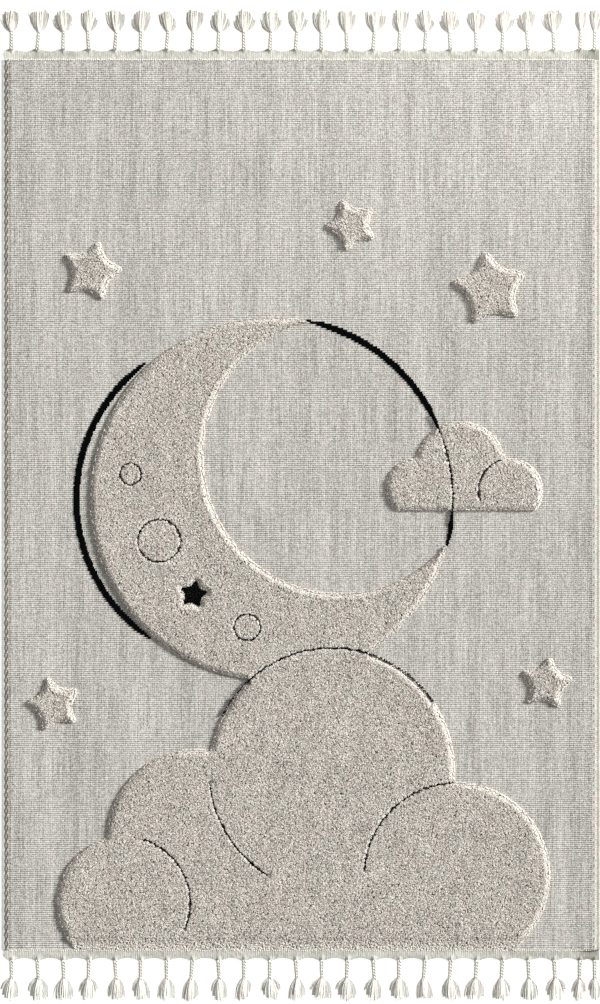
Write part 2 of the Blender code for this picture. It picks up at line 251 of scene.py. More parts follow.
def to_piece(bm, name, finish, smooth=True):
    """The bmesh as an object in the scene, with its faces pointing out."""
    bmesh.ops.recalc_face_normals(bm, faces=bm.faces[:])
    return mesh_piece(to_mesh(bm, name), name, finish, smooth)


def mesh_piece(mesh, name, finish, smooth=True):
    """The mesh as an object in the scene, with its one finish."""
    mesh.name = name
    mesh.materials.clear()
    mesh.materials.append(finish)
    mesh.polygons.foreach_set("use_smooth", [smooth] * len(mesh.polygons))
    piece = bpy.data.objects.new(name, mesh)
    bpy.context.scene.collection.objects.link(piece)
    return piece


def fit(piece, slot, *nodes):
    """Puts a finished piece on the rug in place of the named solids."""
    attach(piece, "root")
    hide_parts(*nodes)
    triangles = sum(len(face.vertices) - 2 for face in piece.data.polygons)
    print(f"{piece.name}: {triangles} triangles")
    return piece


def close_below(bm, floor):
    """Carries the open border of a raised sheet down to the floor and closes it, with a sharp corner."""
    border = [edge for edge in bm.edges if edge.is_boundary]
    for edge in border:
        edge.smooth = False
    lowered = bmesh.ops.extrude_edge_only(bm, edges=border)["geom"]
    for item in lowered:
        if isinstance(item, bmesh.types.BMVert):
            item.co.z = floor
    rim = [item for item in lowered if isinstance(item, bmesh.types.BMEdge) and item.is_boundary]
    bmesh.ops.holes_fill(bm, edges=rim, sides=0)


# %% [markdown]
# ## Floor
# The picture's backdrop is pure white and swallows nearly all shadow. A white floor with a little light of
# its own does the same.

# %% Floor
FLOOR_SIZE = 6.0
FLOOR_GLOW = 0.64

floor_finish, tree, shader, place = new_finish("white floor", roughness=0.9, sheen=0.0)
floor_share = total(tree, grain(tree, place, (0.9, 0.9, 0.9), contrast=0.2), 0.5)
tree.links.new(between(tree, floor_share, (0.86,) * 3, (0.90,) * 3), shader.inputs["Base Color"])
shader.inputs["Emission Color"].default_value = (1.0, 1.0, 1.0, 1.0)
shader.inputs["Emission Strength"].default_value = FLOOR_GLOW

bm = bmesh.new()
bmesh.ops.create_grid(bm, x_segments=2, y_segments=2, size=FLOOR_SIZE / 2)
floor = to_piece(bm, "floor", floor_finish)
print("floor", FLOOR_SIZE, "m")

# %% [markdown]
# ## The woven ground
# The low ground is a flat weave in fine ribs that run across the rug, 3.46 mm apart: that makes 432 of
# them. Each rib is a row of tiny loops. A bump map would do for the picture, but the ribs are real relief,
# so here they are points of the mesh: a grid with four rows of points to a rib, raised by a wave. The
# single loops stay a pattern in the material, since 120,000 of them would be too many to model.

# %% The ribbed ground, in points
RIB = 0.003456
ROWS_PER_RIB = 4
GROUND_COLUMNS = 26
GROUND_TOP = 0.0062
RIB_DEPTH = 0.0010
WANDER = 0.00022

ribs = round((field_high.y - field_low.y) / RIB)
rib = (field_high.y - field_low.y) / ribs
ground_size = (field_high.x - field_low.x, field_high.y - field_low.y)
print(ribs, "ribs of", round(rib * 1000, 3), "mm")


def ground_height(x, y):
    """The top of the ribs at a place, a little uneven along each."""
    wave = 0.5 - 0.5 * math.cos((y - field_low.y) / rib * math.tau)
    return GROUND_TOP - RIB_DEPTH * (1.0 - wave) + WANDER * noise.noise((x * 30.0, y * 290.0, 0.0))


bm = bmesh.new()
bmesh.ops.create_grid(bm, x_segments=GROUND_COLUMNS, y_segments=ribs * ROWS_PER_RIB, size=0.5)
bmesh.ops.scale(bm, verts=bm.verts[:], vec=(*ground_size, 1.0))
for point in bm.verts:
    point.co.z = ground_height(point.co.x, point.co.y)
close_below(bm, 0.0)

# %% [markdown]
# ### Its finish
# Up close the ground is pale greige yarn, with painted shade in the slots between the ribs, and every bit of
# a loop catches the light in its own way. So a pattern of cells, about four to a loop, gives each cell one
# random number, and a wave paints shade into the gaps between the columns of loops, which are as far apart as
# the ribs.
# Both are shifted a little by a slow noise, or the columns would be straighter than any weave. Along the
# rug's length run lighter and darker streaks, because one warp yarn carries the same shade from end to end,
# and two narrow strips beside the bindings are darker.

# %% The ground's finish
GROUND_DARK = (0.135, 0.127, 0.112)
GROUND_LIGHT = (0.745, 0.72, 0.668)
CELL = 0.00145
CELL_CONTRAST = 0.50
COLUMN = 0.00350
# How much painted shade darkens the gaps between the columns of loops
COLUMN_GAP_SHADE = 0.058
COLUMN_SHIFT = 0.010
# How much painted shade darkens the slots between the ribs
SLOT_PAINTED_SHADE = 0.195
GROUND_SHARE = 0.492
# Middle x, half the width, how much darker
DARKER_STRIPS = ((-0.48945, 0.0026, 0.23), (0.4835, 0.0033, 0.10))

ground_finish, tree, shader, place = new_finish("ribbed ground yarn", roughness=0.95, sheen=0.15)
wander = add(tree, "ShaderNodeTexNoise", {"Vector": place, "Scale": 24.0, "Detail": 2.0}).outputs["Color"]
shift = add(tree, "ShaderNodeVectorMath", {0: wander, 1: (COLUMN_SHIFT, 0.0, 0.0)}, operation="MULTIPLY")
shifted = add(tree, "ShaderNodeVectorMath", {0: place, 1: shift.outputs["Vector"]}, operation="ADD")
shifted = shifted.outputs["Vector"]
loops = times(tree, total(tree, one_each(tree, shifted, (CELL, rib / 2)), -0.5), CELL_CONTRAST)
columns = reckon(tree, "COSINE", times(tree, axis(tree, shifted, "X"), math.tau / COLUMN))
# Painted shade in the gaps between the columns of loops
loops = total(tree, loops, times(tree, columns, -COLUMN_GAP_SHADE))
rib_turn = total(tree, times(tree, axis(tree, place, "Y"), math.tau / rib), -field_low.y / rib * math.tau)
slot_wide = grain(tree, place, (0.12, 0.20, 0.1), contrast=0.08)
slot_fine = grain(tree, place, (0.009, 0.0025, 0.1), contrast=0.12)
# Painted shade in the slots between the ribs
slot_shade = times(tree, reckon(tree, "COSINE", rib_turn), total(tree, slot_wide, slot_fine, -SLOT_PAINTED_SHADE))
warp_fine = grain(tree, place, (0.0021, 0.10, 0.1), detail=1.0, contrast=0.14)
warp_wide = grain(tree, place, (0.024, 0.9, 0.1), detail=1.0, contrast=0.065)
patches = grain(tree, place, (0.10, 0.12, 0.1), detail=2.0, contrast=0.03)
share = total(tree, slot_shade, loops, warp_fine, warp_wide, patches, GROUND_SHARE)
for strip_middle, strip_half, darker in DARKER_STRIPS:
    inside = reckon(tree, "COMPARE", axis(tree, place, "X"), strip_middle, strip_half)
    share = total(tree, share, times(tree, inside, -darker))
ground_colour = between(tree, share, GROUND_DARK, GROUND_LIGHT)
painted(tree, shader, tinted(tree, place, ground_colour, amount=0.015), loops, distance=0.0005)

ground = fit(to_piece(bm, "ribbed_ground", ground_finish), "field", "rug_body")

# %% [markdown]
# ## The raised pile: its base
# Where the rug is high, the yarn stands up and is cut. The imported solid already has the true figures,
# carved lines and sunk star, so the base of the pile is a merged copy of it: the faces of the low ground
# are dropped, and what stands above is pressed down to the depth where the tufts part. From above it only
# shows as the dark between them.

# %% The pile's base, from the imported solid
GROUND_LEVEL = 0.006
PILE_TOP = 0.013
BASE_SHARE = 0.42
TRIMMED_SHARE = 0.02
TRIMMED_OVER = 0.022
LEVEL_SLACK = 0.0002
MERGE = 0.00001
WALL_NORMAL_Z = 0.3
FOOT_DOWN = 0.0015

solid = bmesh.new()
solid.from_mesh(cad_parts["rug_body"].data)
bmesh.ops.remove_doubles(solid, verts=solid.verts[:], dist=MERGE)
solid.normal_update()
whole = BVHTree.FromBMesh(solid)
low_faces = [
    face for face in solid.faces
    if max(point.co.z for point in face.verts) < GROUND_LEVEL + LEVEL_SLACK
]
bmesh.ops.delete(solid, geom=low_faces, context="FACES")
foot_edges = [
    edge for edge in solid.edges
    if edge.is_boundary and max(abs(point.co.z - GROUND_LEVEL) for point in edge.verts) < LEVEL_SLACK
]
feet = []
for edge in foot_edges:
    feet.append((edge.verts[0].co.copy(), edge.verts[1].co.copy(), edge.link_faces[0].normal.copy()))
walls = solid.copy()
level_faces = [face for face in walls.faces if abs(face.normal.z) > WALL_NORMAL_Z]
bmesh.ops.delete(walls, geom=level_faces, context="FACES")
wall_tree = BVHTree.FromBMesh(walls)
walls.free()
bmesh.ops.bisect_plane(
    solid, geom=solid.verts[:] + solid.edges[:] + solid.faces[:],
    plane_co=(0.0, field_low.y + TRIMMED_OVER, 0.0), plane_no=(0.0, 1.0, 0.0),
)
for point in solid.verts:
    if point.co.z > GROUND_LEVEL:
        share_left = BASE_SHARE if point.co.y > field_low.y + TRIMMED_OVER / 2 else TRIMMED_SHARE
        point.co.z = GROUND_LEVEL + (point.co.z - GROUND_LEVEL) * share_left
foot_points = list({point for edge in foot_edges for point in edge.verts})
bmesh.ops.translate(solid, verts=foot_points, vec=(0.0, 0.0, -FOOT_DOWN))
print("pile base:", len(solid.faces), "faces,", len(feet), "foot edges")

# %% [markdown]
# ### The pile's finish
# Cut pile is the same greige, warmer than the ground. Each tuft carries two attributes on its points: a
# shade of its own, and how near a point is to the tip. Painted shade darkens a tuft towards its root, where
# little light gets in, and the tip gets a little painted light.

# %% The pile's finish
PILE_DARK = (0.175, 0.153, 0.128)
PILE_LIGHT = (0.845, 0.790, 0.715)
BASE_SHADE = 0.40

greige_pile, tree, shader, place = new_finish("greige cut pile", roughness=0.95, sheen=0.25)
# Painted shade towards each tuft's root and a little painted light at its tip
depth = rescaled(tree, point_value(tree, "tip"), (0.25, 1.0), (-0.24, 0.06))
fibres = grain(tree, place, (0.0005, 0.0005, 0.003), detail=2.0, contrast=0.20)
mottle = grain(tree, place, (0.0014, 0.0014, 0.01), detail=1.0, contrast=0.72)
drift = grain(tree, place, (0.022, 0.06, 0.1), detail=2.0, contrast=0.06)
pile_share = total(tree, point_value(tree, "shade"), depth, fibres, mottle, drift)
pile_colour = between(tree, pile_share, PILE_DARK, PILE_LIGHT)
painted(tree, shader, tinted(tree, place, pile_colour, amount=0.016), fibres, distance=0.0008)

# The base has no tip value, so the painted root shade makes it fully dark
base_shade = solid.verts.layers.float.new("shade")
for point in solid.verts:
    point[base_shade] = BASE_SHADE
pile_base = fit(to_piece(solid, "pile_base", greige_pile, smooth=False), "field", "rug_body")

# %% [markdown]
# ### Tufts
# There are about fifty thousand tufts. Modelling one and repeating it is Geometry Nodes' work: a mesh of
# bare points says where each tuft stands, how it leans, how large it is and how light, and Instance on
# Points sets a form on every point. Realize Instances makes them plain mesh at the end. A tuft is a closed
# spindle with ten faces, its widest ring near the top, where the cut yarn splays. There are six forms of it
# with jagged rings, so no two neighbours look the same.

# %% Tuft forms
TUFT_SIDES = 5
TUFT_FORMS = 6
WIDEST_AT = 0.94
JAGGED = 0.34
RING_UNEVEN = 0.12
POLES_UNEVEN = 0.3


def spindle(name, chance, sides, widest, uneven):
    """A closed spindle of height 1 on its foot, its one ring pushed in and out by chance."""
    bm = bmesh.new()
    bmesh.ops.create_uvsphere(bm, u_segments=sides, v_segments=2, radius=0.5)
    tip = bm.verts.layers.float.new("tip")
    for point in bm.verts:
        if abs(point.co.z) < 0.1:
            point.co *= 1.0 + chance.uniform(-uneven, uneven)
            point.co.z = widest + chance.uniform(-uneven, uneven) * RING_UNEVEN
        else:
            point.co.z += 0.5
            point.co.x += chance.uniform(-uneven, uneven) * POLES_UNEVEN
            point.co.y += chance.uniform(-uneven, uneven) * POLES_UNEVEN
        point[tip] = point.co.z
    bmesh.ops.recalc_face_normals(bm, faces=bm.faces[:])
    return bpy.data.objects.new(name, to_mesh(bm, name))


def form_group(name, forms):
    """A collection from which a form is picked for each point."""
    group = bpy.data.collections.new(name)
    for form in forms:
        group.objects.link(form)
    return group


chance = random.Random(7)
tuft_forms = form_group("tuft forms", [
    spindle(f"tuft_form_{k}", chance, TUFT_SIDES, WIDEST_AT, JAGGED) for k in range(TUFT_FORMS)
])

# %% [markdown]
# ### Scattering
# `scatter` is the little node tree that sets forms on points. The points come as rows of (place, turn,
# size, shade, form). The tree's result is copied to a plain mesh, and the working objects are removed
# again.

# %% The node tree that scatters
def scatter_tree(forms):
    """Geometry nodes that set one of the forms on every point, and make them plain mesh."""
    tree = bpy.data.node_groups.new("set forms on points", "GeometryNodeTree")
    tree.interface.new_socket("Geometry", in_out="INPUT", socket_type="NodeSocketGeometry")
    tree.interface.new_socket("Geometry", in_out="OUTPUT", socket_type="NodeSocketGeometry")

    def stored(name, kind):
        made = add(tree, "GeometryNodeInputNamedAttribute", {"Name": name}, data_type=kind)
        return made.outputs["Attribute"]

    points = add(tree, "NodeGroupInput").outputs["Geometry"]
    group = add(
        tree, "GeometryNodeCollectionInfo",
        {"Collection": forms, "Separate Children": True, "Reset Children": True},
    )
    placed = add(tree, "GeometryNodeInstanceOnPoints", {
        "Points": points, "Instance": group.outputs["Instances"], "Pick Instance": True,
        "Instance Index": stored("form", "INT"), "Rotation": stored("turn", "FLOAT_VECTOR"),
        "Scale": stored("size", "FLOAT_VECTOR"),
    })
    plain = add(tree, "GeometryNodeRealizeInstances", {"Geometry": placed.outputs["Instances"]})
    add(tree, "NodeGroupOutput", {"Geometry": plain.outputs["Geometry"]})
    return tree


# %% From rows to a piece
def scatter(name, rows, forms, finish, smooth=True):
    """One mesh piece with a form on each row's place."""
    bm = bmesh.new()
    turn = bm.verts.layers.float_vector.new("turn")
    size = bm.verts.layers.float_vector.new("size")
    shade = bm.verts.layers.float.new("shade")
    form = bm.verts.layers.int.new("form")
    for place, turned, sized, shaded, picked in rows:
        point = bm.verts.new(place)
        point[turn], point[size], point[shade], point[form] = turned, sized, shaded, picked
    places = bpy.data.objects.new("places", to_mesh(bm, "places"))
    bpy.context.scene.collection.objects.link(places)
    step = places.modifiers.new("forms", "NODES")
    step.node_group = scatter_tree(forms)
    seen = places.evaluated_get(bpy.context.evaluated_depsgraph_get())
    result = bpy.data.meshes.new_from_object(seen)
    bpy.data.objects.remove(places)
    for spent in ("turn", "size", "form"):
        if spent in result.attributes:
            result.attributes.remove(result.attributes[spent])
    return mesh_piece(result, name, finish, smooth)


# %% [markdown]
# ### Where the tufts stand
# A loom sets the tufts in the same rows as the ribs, and cutting and wear splay them until the rows are
# almost gone. So the places are one row to a rib with a random shift, and a ray from above onto the packed
# solid tells if a place is high pile. Along an open edge the pile is sheared round: the cut ends follow a
# quarter circle and face outwards. On the right they catch the key light and make the bright rim, on the
# left they lie in their own shade, and on every side they are also painted lighter towards the edge, which
# adds painted light to the rim. Beside a carved groove the tufts lean only a little, or the groove would
# close, and they get a little painted light. Along the lower heading the seam presses the pile down, and that
# slope, which faces away from the key light, is painted much lighter.

# %% The solid's surface under a place
ABOVE = 0.05
DOWN = Vector((0.0, 0.0, -1.0))
BANK_SPOT = (0.05, -0.45)
HIGH = GROUND_LEVEL + 0.0012


def surface_at(x, y):
    """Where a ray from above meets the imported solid."""
    return whole.ray_cast(Vector((x, y, ABOVE)), DOWN)[0]


print("on the bank the solid is", round(surface_at(*BANK_SPOT).z, 4), "m high")

# %% One tuft
TUFT_WIDTH = 0.0055
TUFT_LENGTH = 0.0066
# Shares from which chance picks
LENGTHS = (0.86, 1.06)
WIDTHS = (0.82, 1.14)
FLATNESS = (0.85, 1.1)
# The lowest foot over the floor
FOOT_LEAST = 0.0004
SPLAY = math.radians(9.0)
LEAN_MOST = 1.4
TUFT_SHADE = 0.375
STREAKS = 0.08
SHADE_SPREAD = 0.06

chance = random.Random(19)


def tuft_turn(lean, towards):
    """A tuft's lean from upright towards a compass direction, plus a random splay and twist."""
    tilt = Vector((math.cos(towards), math.sin(towards), 0.0)) * math.tan(min(lean, LEAN_MOST))
    splay_way = chance.uniform(0.0, math.tau)
    splay = math.tan(SPLAY) * math.sqrt(chance.random())
    upwards = Vector((splay * math.cos(splay_way), splay * math.sin(splay_way), 1.0)) + tilt
    twist = Matrix.Rotation(chance.uniform(0.0, math.tau), 3, "Z")
    return (upwards.to_track_quat("Z", "Y").to_matrix() @ twist).to_euler()


def tuft_shade(x, y):
    """Each tuft's own shade, with faint streaks along the rug's length."""
    streak = noise.noise((x * 110.0, y * 9.0, 3.0))
    return TUFT_SHADE + STREAKS * streak + chance.gauss(0.0, SHADE_SPREAD)


def tuft_row(x, y, top, lean, towards, width=1.0, lighter=0.0):
    """A tuft whose tip is at (x, y, top)."""
    turned = tuft_turn(lean, towards)
    length = min(TUFT_LENGTH * chance.uniform(*LENGTHS), top - FOOT_LEAST)
    foot = Vector((x, y, top)) - turned.to_matrix() @ Vector((0.0, 0.0, length))
    across = TUFT_WIDTH * width * chance.uniform(*WIDTHS)
    size = (across, across * chance.uniform(*FLATNESS), length)
    # lighter is painted light added to the tuft's own shade
    return foot, turned, size, tuft_shade(x, y) + lighter, chance.randrange(TUFT_FORMS)


# %% Places of the tufts
TUFT_SPACING = 0.00285
SHIFT_ALONG = 0.00130
SHIFT_ACROSS = 0.00080
TIP_UNEVEN = (-0.0003, 0.0002)
# The sheared edge, from this far in
WALL_LEVEL = 0.0085
ROLL = 0.0110
ROLL_FOOT = 0.0010
ROLL_LEAST = 0.0085
# Painted light on the sheared rim, strongest at the edge, on every side
ROLL_PAINTED_LIGHT = 0.27
ROLL_WIDER = 0.15
# Beside a carved groove
GROOVE_WIDTH = 0.0050
GROOVE_LEAN = math.radians(14.0)
GROOVE_KEEP = 0.0011
# Painted light on the tufts beside a groove
GROOVE_PAINTED_LIGHT = 0.14
ACROSS_GROOVE = 0.0046
# Along the lower heading
TRIMMED_BY = 0.0068
TRIMMED_LEAST = 0.0065
# Painted light on the pressed slope, which faces away from the key light
TRIMMED_PAINTED_LIGHT = 0.66
TRIMMED_NARROWER = 0.25
SEAM_KEEP = 0.0005


def pile_rows():
    """A row for every tuft on top of the pile."""
    rows = []
    count_x = int((field_high.x - field_low.x) / TUFT_SPACING)
    for j in range(ribs):
        for k in range(count_x):
            x = field_low.x + (k + 0.5 * (j % 2)) * TUFT_SPACING + chance.uniform(-1.0, 1.0) * SHIFT_ALONG
            y = field_low.y + (j + 0.5) * rib + chance.uniform(-1.0, 1.0) * SHIFT_ACROSS
            top = surface_at(x, y)
            if top is None or top.z < HIGH or y < field_low.y + SEAM_KEEP:
                continue
            trimmed = max(0.0, 1.0 - (y - field_low.y) / TRIMMED_OVER)
            wall, outwards, _, far = wall_tree.find_nearest(Vector((x, y, WALL_LEVEL)), ROLL)
            # Near the lower heading the tufts drop and get painted light
            lean, towards, lighter, drop = 0.0, 0.0, TRIMMED_PAINTED_LIGHT * trimmed, TRIMMED_BY * trimmed
            width = 1.0 - TRIMMED_NARROWER * trimmed
            if wall is not None and trimmed == 0.0:
                towards = math.atan2(outwards.y, outwards.x)
                beyond = wall + outwards * ACROSS_GROOVE
                across = surface_at(beyond.x, beyond.y)
                if across is not None and across.z > HIGH:
                    near = max(0.0, 1.0 - far / GROOVE_WIDTH)
                    # Tufts near a groove wall get a little painted light
                    lean, lighter = GROOVE_LEAN * near, GROOVE_PAINTED_LIGHT * near
                    x -= outwards.x * max(0.0, GROOVE_KEEP - far)
                    y -= outwards.y * max(0.0, GROOVE_KEEP - far)
                else:
                    near = 1.0 - max(far, ROLL_FOOT) / ROLL
                    # Rim tufts get painted light towards the edge
                    lean, lighter = math.asin(near), ROLL_PAINTED_LIGHT * near
                    width, top.z = 1.0 + ROLL_WIDER * near, PILE_TOP
                    drop = min(PILE_TOP - ROLL_LEAST, ROLL * (1.0 - math.sqrt(1.0 - near * near)))
            tip_height = max(TRIMMED_LEAST, top.z + chance.uniform(*TIP_UNEVEN) - drop)
            rows.append(tuft_row(x, y, tip_height, lean, towards, width, lighter))
    return rows


tuft_rows = pile_rows()
print(len(tuft_rows), "tufts")

# %% [markdown]
# ### The skirt of the pile
# A ray from above never meets a wall, so the walls get their own tufts: a row that lies nearly flat,
# pointing out, along every foot edge of the figures.

# %% Places of the skirt tufts
SKIRT_HEIGHT = 0.0066
SKIRT_LEAN = math.radians(66.0)
SKIRT_WIDTH = 0.9
SKIRT_SPACING = 0.0021
SKIRT_OUT = 0.0006

skirt_rows = []
for start, end, facing in feet:
    if max(start.y, end.y) < field_low.y + LEVEL_SLACK:
        continue
    along = end - start
    outwards = Vector((facing.x, facing.y, 0.0)).normalized()
    towards = math.atan2(facing.y, facing.x)
    count = along.length / SKIRT_SPACING
    steps = int(count) + (chance.random() < count % 1.0)
    for _ in range(steps):
        tip = start + along * chance.random() + outwards * SKIRT_OUT
        # Skirt tufts get the rim's full painted light
        row = tuft_row(tip.x, tip.y, SKIRT_HEIGHT, SKIRT_LEAN, towards, SKIRT_WIDTH, ROLL_PAINTED_LIGHT)
        skirt_rows.append(row)
print(len(skirt_rows), "skirt tufts")

# %% [markdown]
# ### Tufts as pieces
# No piece should pass 200,000 triangles, so the tufts are shared out: the bank of cloud in two halves, the
# moon, and the small cloud with the stars. Circles and straight limits tell the parts apart.

# %% Tufts as pieces
# Middle x, middle y, radius
MOON = (-0.050, 0.010, 0.305)
TOP_CLOUD = (0.052, -0.446, 0.206)
MOON_MARGIN = 0.008
BANK_TOP_Y = -0.235
BANK_SPLIT_X = 0.04
# Past both this x and this y stand the small figures
PAST_MOON = (0.13, -0.02)
PAST_BANK = (0.36, -0.38)


def part_of(place):
    """The name of the piece that a tuft at a place belongs to."""
    x, y = place.x, place.y
    near_moon = math.hypot(x - MOON[0], y - MOON[1]) < MOON[2] + MOON_MARGIN
    off_cloud = math.hypot(x - TOP_CLOUD[0], y - TOP_CLOUD[1]) > TOP_CLOUD[2]
    if near_moon and off_cloud and not (x > PAST_MOON[0] and y > PAST_MOON[1]):
        return "moon_pile"
    if y < BANK_TOP_Y and not (abs(x) > PAST_BANK[0] and y > PAST_BANK[1]):
        return "cloud_bank_pile_left" if x < BANK_SPLIT_X else "cloud_bank_pile_right"
    return "small_pile"


shares = {}
for row in tuft_rows + skirt_rows:
    shares.setdefault(part_of(row[0]), []).append(row)
pile_pieces = []
for name in sorted(shares):
    tufts = scatter(name, shares[name], tuft_forms, greige_pile, smooth=False)
    pile_pieces.append(fit(tufts, "field", "rug_body"))

# %% [markdown]
# ## Black yarn in the low weave
# Black yarn is woven into the ground in arcs. A loom can only change colour loop by loop, so a curve comes
# out in small steps: here, cells one rib long and half as wide. Each black cell is a low pillow of yarn,
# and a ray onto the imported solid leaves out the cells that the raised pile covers. The band thins to a
# thread where it runs into the pile.

# %% Black yarn
black_yarn, tree, shader, place = new_finish("black yarn", roughness=0.9, sheen=0.0)
shader.inputs["Specular IOR Level"].default_value = 0.0
black_fibres = grain(tree, place, (0.0008, 0.003, 0.0008), detail=1.0, contrast=0.5)
black_share = total(tree, black_fibres, 0.5)
black_colour = between(tree, black_share, (0.0014, 0.0016, 0.0018), (0.0042, 0.0046, 0.0048))
painted(tree, shader, black_colour, black_fibres, distance=0.0004)
print("finish:", black_yarn.name)

# %% The pillow
PILLOW_BEVEL = 0.24


def pillow(name):
    """A low block with a rounded top, one cell wide and long, standing on its foot."""
    bm = bmesh.new()
    bmesh.ops.create_cube(bm, size=1.0)
    bmesh.ops.translate(bm, verts=bm.verts[:], vec=(0.0, 0.0, 0.5))
    upper = [edge for edge in bm.edges if min(point.co.z for point in edge.verts) > 0.5]
    bmesh.ops.bevel(
        bm, geom=upper, offset=PILLOW_BEVEL, segments=1, profile=0.5, affect="EDGES", material=-1
    )
    return bpy.data.objects.new(name, to_mesh(bm, name))


loop_forms = form_group("loop forms", [pillow("loop_form")])

# %% Places of the black cells
LOOM_STEP = RIB / 2
BLACK_WIDTH = 0.0104
THIN_WIDTH = 0.0030
THINS_OVER = 0.045
PILLOW_FOOT = 0.0049
PILLOW_HEIGHT = 0.0020
HEIGHT_UNEVEN = (-0.0002, 0.0003)
# Share of the cell's width and of its length, so that neighbours meet
PILLOW_OVERLAP = (1.12, 1.06)
PILLOW_TWIST = 0.03
EDGE_UNEVEN = 0.0003
# Middle x, middle y, radius, first and last angle in degrees
BLACK_ARCS = (
    (*MOON, 22.0, 79.0),
    (*MOON, -15.5, -3.0),
    (-0.094, 0.010, 0.283, 126.0, 236.0),
)


def arc_half_width(angle, first, last, radius):
    """Half the black band's width at an angle, thinner near both ends."""
    run = min(angle - first, last - angle) * radius
    return (THIN_WIDTH + (BLACK_WIDTH - THIN_WIDTH) * max(0.0, min(1.0, run / THINS_OVER))) / 2


def black_cells():
    """A row for every black cell of the bare ground."""
    rows = []
    for middle_x, middle_y, radius, start, end in BLACK_ARCS:
        first, last = math.radians(start), math.radians(end)
        reach = radius + BLACK_WIDTH
        lowest = math.floor((middle_y - reach - field_low.y) / rib)
        highest = math.ceil((middle_y + reach - field_low.y) / rib)
        leftmost = math.floor((middle_x - reach) / LOOM_STEP)
        rightmost = math.ceil((middle_x + reach) / LOOM_STEP)
        for j, k in itertools.product(range(lowest, highest), range(leftmost, rightmost)):
            x, y = (k + 0.5) * LOOM_STEP, field_low.y + (j + 0.5) * rib
            away = math.hypot(x - middle_x, y - middle_y) - radius
            if abs(away) > BLACK_WIDTH:
                continue
            angle = math.atan2(y - middle_y, x - middle_x)
            if angle < first:
                angle += math.tau
            half = arc_half_width(angle, first, last, radius) + chance.gauss(0.0, EDGE_UNEVEN)
            if angle > last or abs(away) > half:
                continue
            top = surface_at(x, y)
            if top is None or top.z > HIGH:
                continue
            height = PILLOW_HEIGHT + chance.uniform(*HEIGHT_UNEVEN)
            size = (LOOM_STEP * PILLOW_OVERLAP[0], rib * PILLOW_OVERLAP[1], height)
            turned = (0.0, 0.0, chance.gauss(0.0, PILLOW_TWIST))
            rows.append((Vector((x, y, PILLOW_FOOT)), turned, size, 0.0, 0))
    return rows


black_rows = black_cells()
print(len(black_rows), "black cells")
black_arcs = scatter("black_arc_loops", black_rows, loop_forms, black_yarn, smooth=False)
fit(black_arcs, "field", "rug_body")

# %% [markdown]
# ## Black yarn in the carved lines
# On the pile the drawing goes on as a thin broken line: a few black tufts stand in the bottom of each
# carved groove, and the pale ones lean over them. The sunk star is filled with the same black tufts, lower
# than the pile.

# %% Black tufts in the grooves and the sunk star
# Middle x, middle y, radius, first and last angle in degrees, share of black
CARVED_LINES = (
    (*MOON, -8.0, 28.0, 0.85),
    (*TOP_CLOUD, 34.0, 153.0, 0.80),
    (*TOP_CLOUD, 186.0, 238.0, 0.70),
    (-0.298, -0.668, 0.112, -22.0, 72.0, 0.70),
    (0.262, -0.622, 0.156, 92.0, 176.0, 0.75),
    (0.352, 0.024, 0.054, 108.0, 196.0, 0.65),
    (-0.238, -0.060, 0.036, 0.0, 360.0, 0.62),
    (-0.286, 0.052, 0.018, 0.0, 360.0, 0.50),
    (-0.090, -0.205, 0.022, 0.0, 360.0, 0.55),
)
SPECK_SPACING = 0.0013
SPECK_WIDTH = 0.0027
SPECK_WIDTHS = (0.8, 1.2)
SPECK_TOP = 0.0113
SPECK_ASIDE = 0.0003
BREAKS = 0.9
STAR_MIDDLE = (-0.180, -0.150)
STAR_REACH = 0.027
STAR_SPACING = 0.0019
STAR_SHIFT = 0.6
STAR_YARN_TOP = 0.0098


def speck(x, y, top, width):
    """A black tuft that stands upright on the ground's level."""
    turned = tuft_turn(0.0, 0.0)
    length = top - GROUND_LEVEL
    size = (width * chance.uniform(*SPECK_WIDTHS), width * chance.uniform(*SPECK_WIDTHS), length)
    return Vector((x, y, GROUND_LEVEL)), turned, size, 0.0, chance.randrange(TUFT_FORMS)


def groove_specks():
    """Black tufts along the carved lines, with breaks."""
    rows = []
    for middle_x, middle_y, radius, start, end, share in CARVED_LINES:
        first, last = math.radians(start), math.radians(end)
        count = int((last - first) * radius / SPECK_SPACING)
        for k in range(count):
            angle = first + (last - first) * (k + 0.5) / count
            x, y = middle_x + radius * math.cos(angle), middle_y + radius * math.sin(angle)
            broken = noise.noise((x * 90.0, y * 90.0, 5.0)) * BREAKS
            if chance.random() < share + broken:
                x += chance.gauss(0, SPECK_ASIDE)
                y += chance.gauss(0, SPECK_ASIDE)
                rows.append(speck(x, y, SPECK_TOP, SPECK_WIDTH))
    return rows


def star_specks():
    """Black tufts all over the sunk star."""
    rows = []
    steps = int(2 * STAR_REACH / STAR_SPACING)
    for j in range(steps):
        for k in range(steps):
            x = STAR_MIDDLE[0] - STAR_REACH + (k + chance.random() * STAR_SHIFT) * STAR_SPACING
            y = STAR_MIDDLE[1] - STAR_REACH + (j + chance.random() * STAR_SHIFT) * STAR_SPACING
            inside = math.hypot(x - STAR_MIDDLE[0], y - STAR_MIDDLE[1]) < STAR_REACH
            if inside and surface_at(x, y).z < HIGH:
                rows.append(speck(x, y, STAR_YARN_TOP, SPECK_WIDTH))
    return rows


speck_rows = groove_specks() + star_specks()
print(len(speck_rows), "black tufts")
black_tufts = fit(scatter("black_tufts", speck_rows, tuft_forms, black_yarn), "field", "rug_body")

# %% [markdown]
# ## Where the tassels are
# At each end the warp is gathered into 24 tassels. The solids were placed with a seeded random generator,
# and drawing the same numbers here in the same order puts every tassel where its solid is. The places come
# first, because the heading's outer edge follows them.

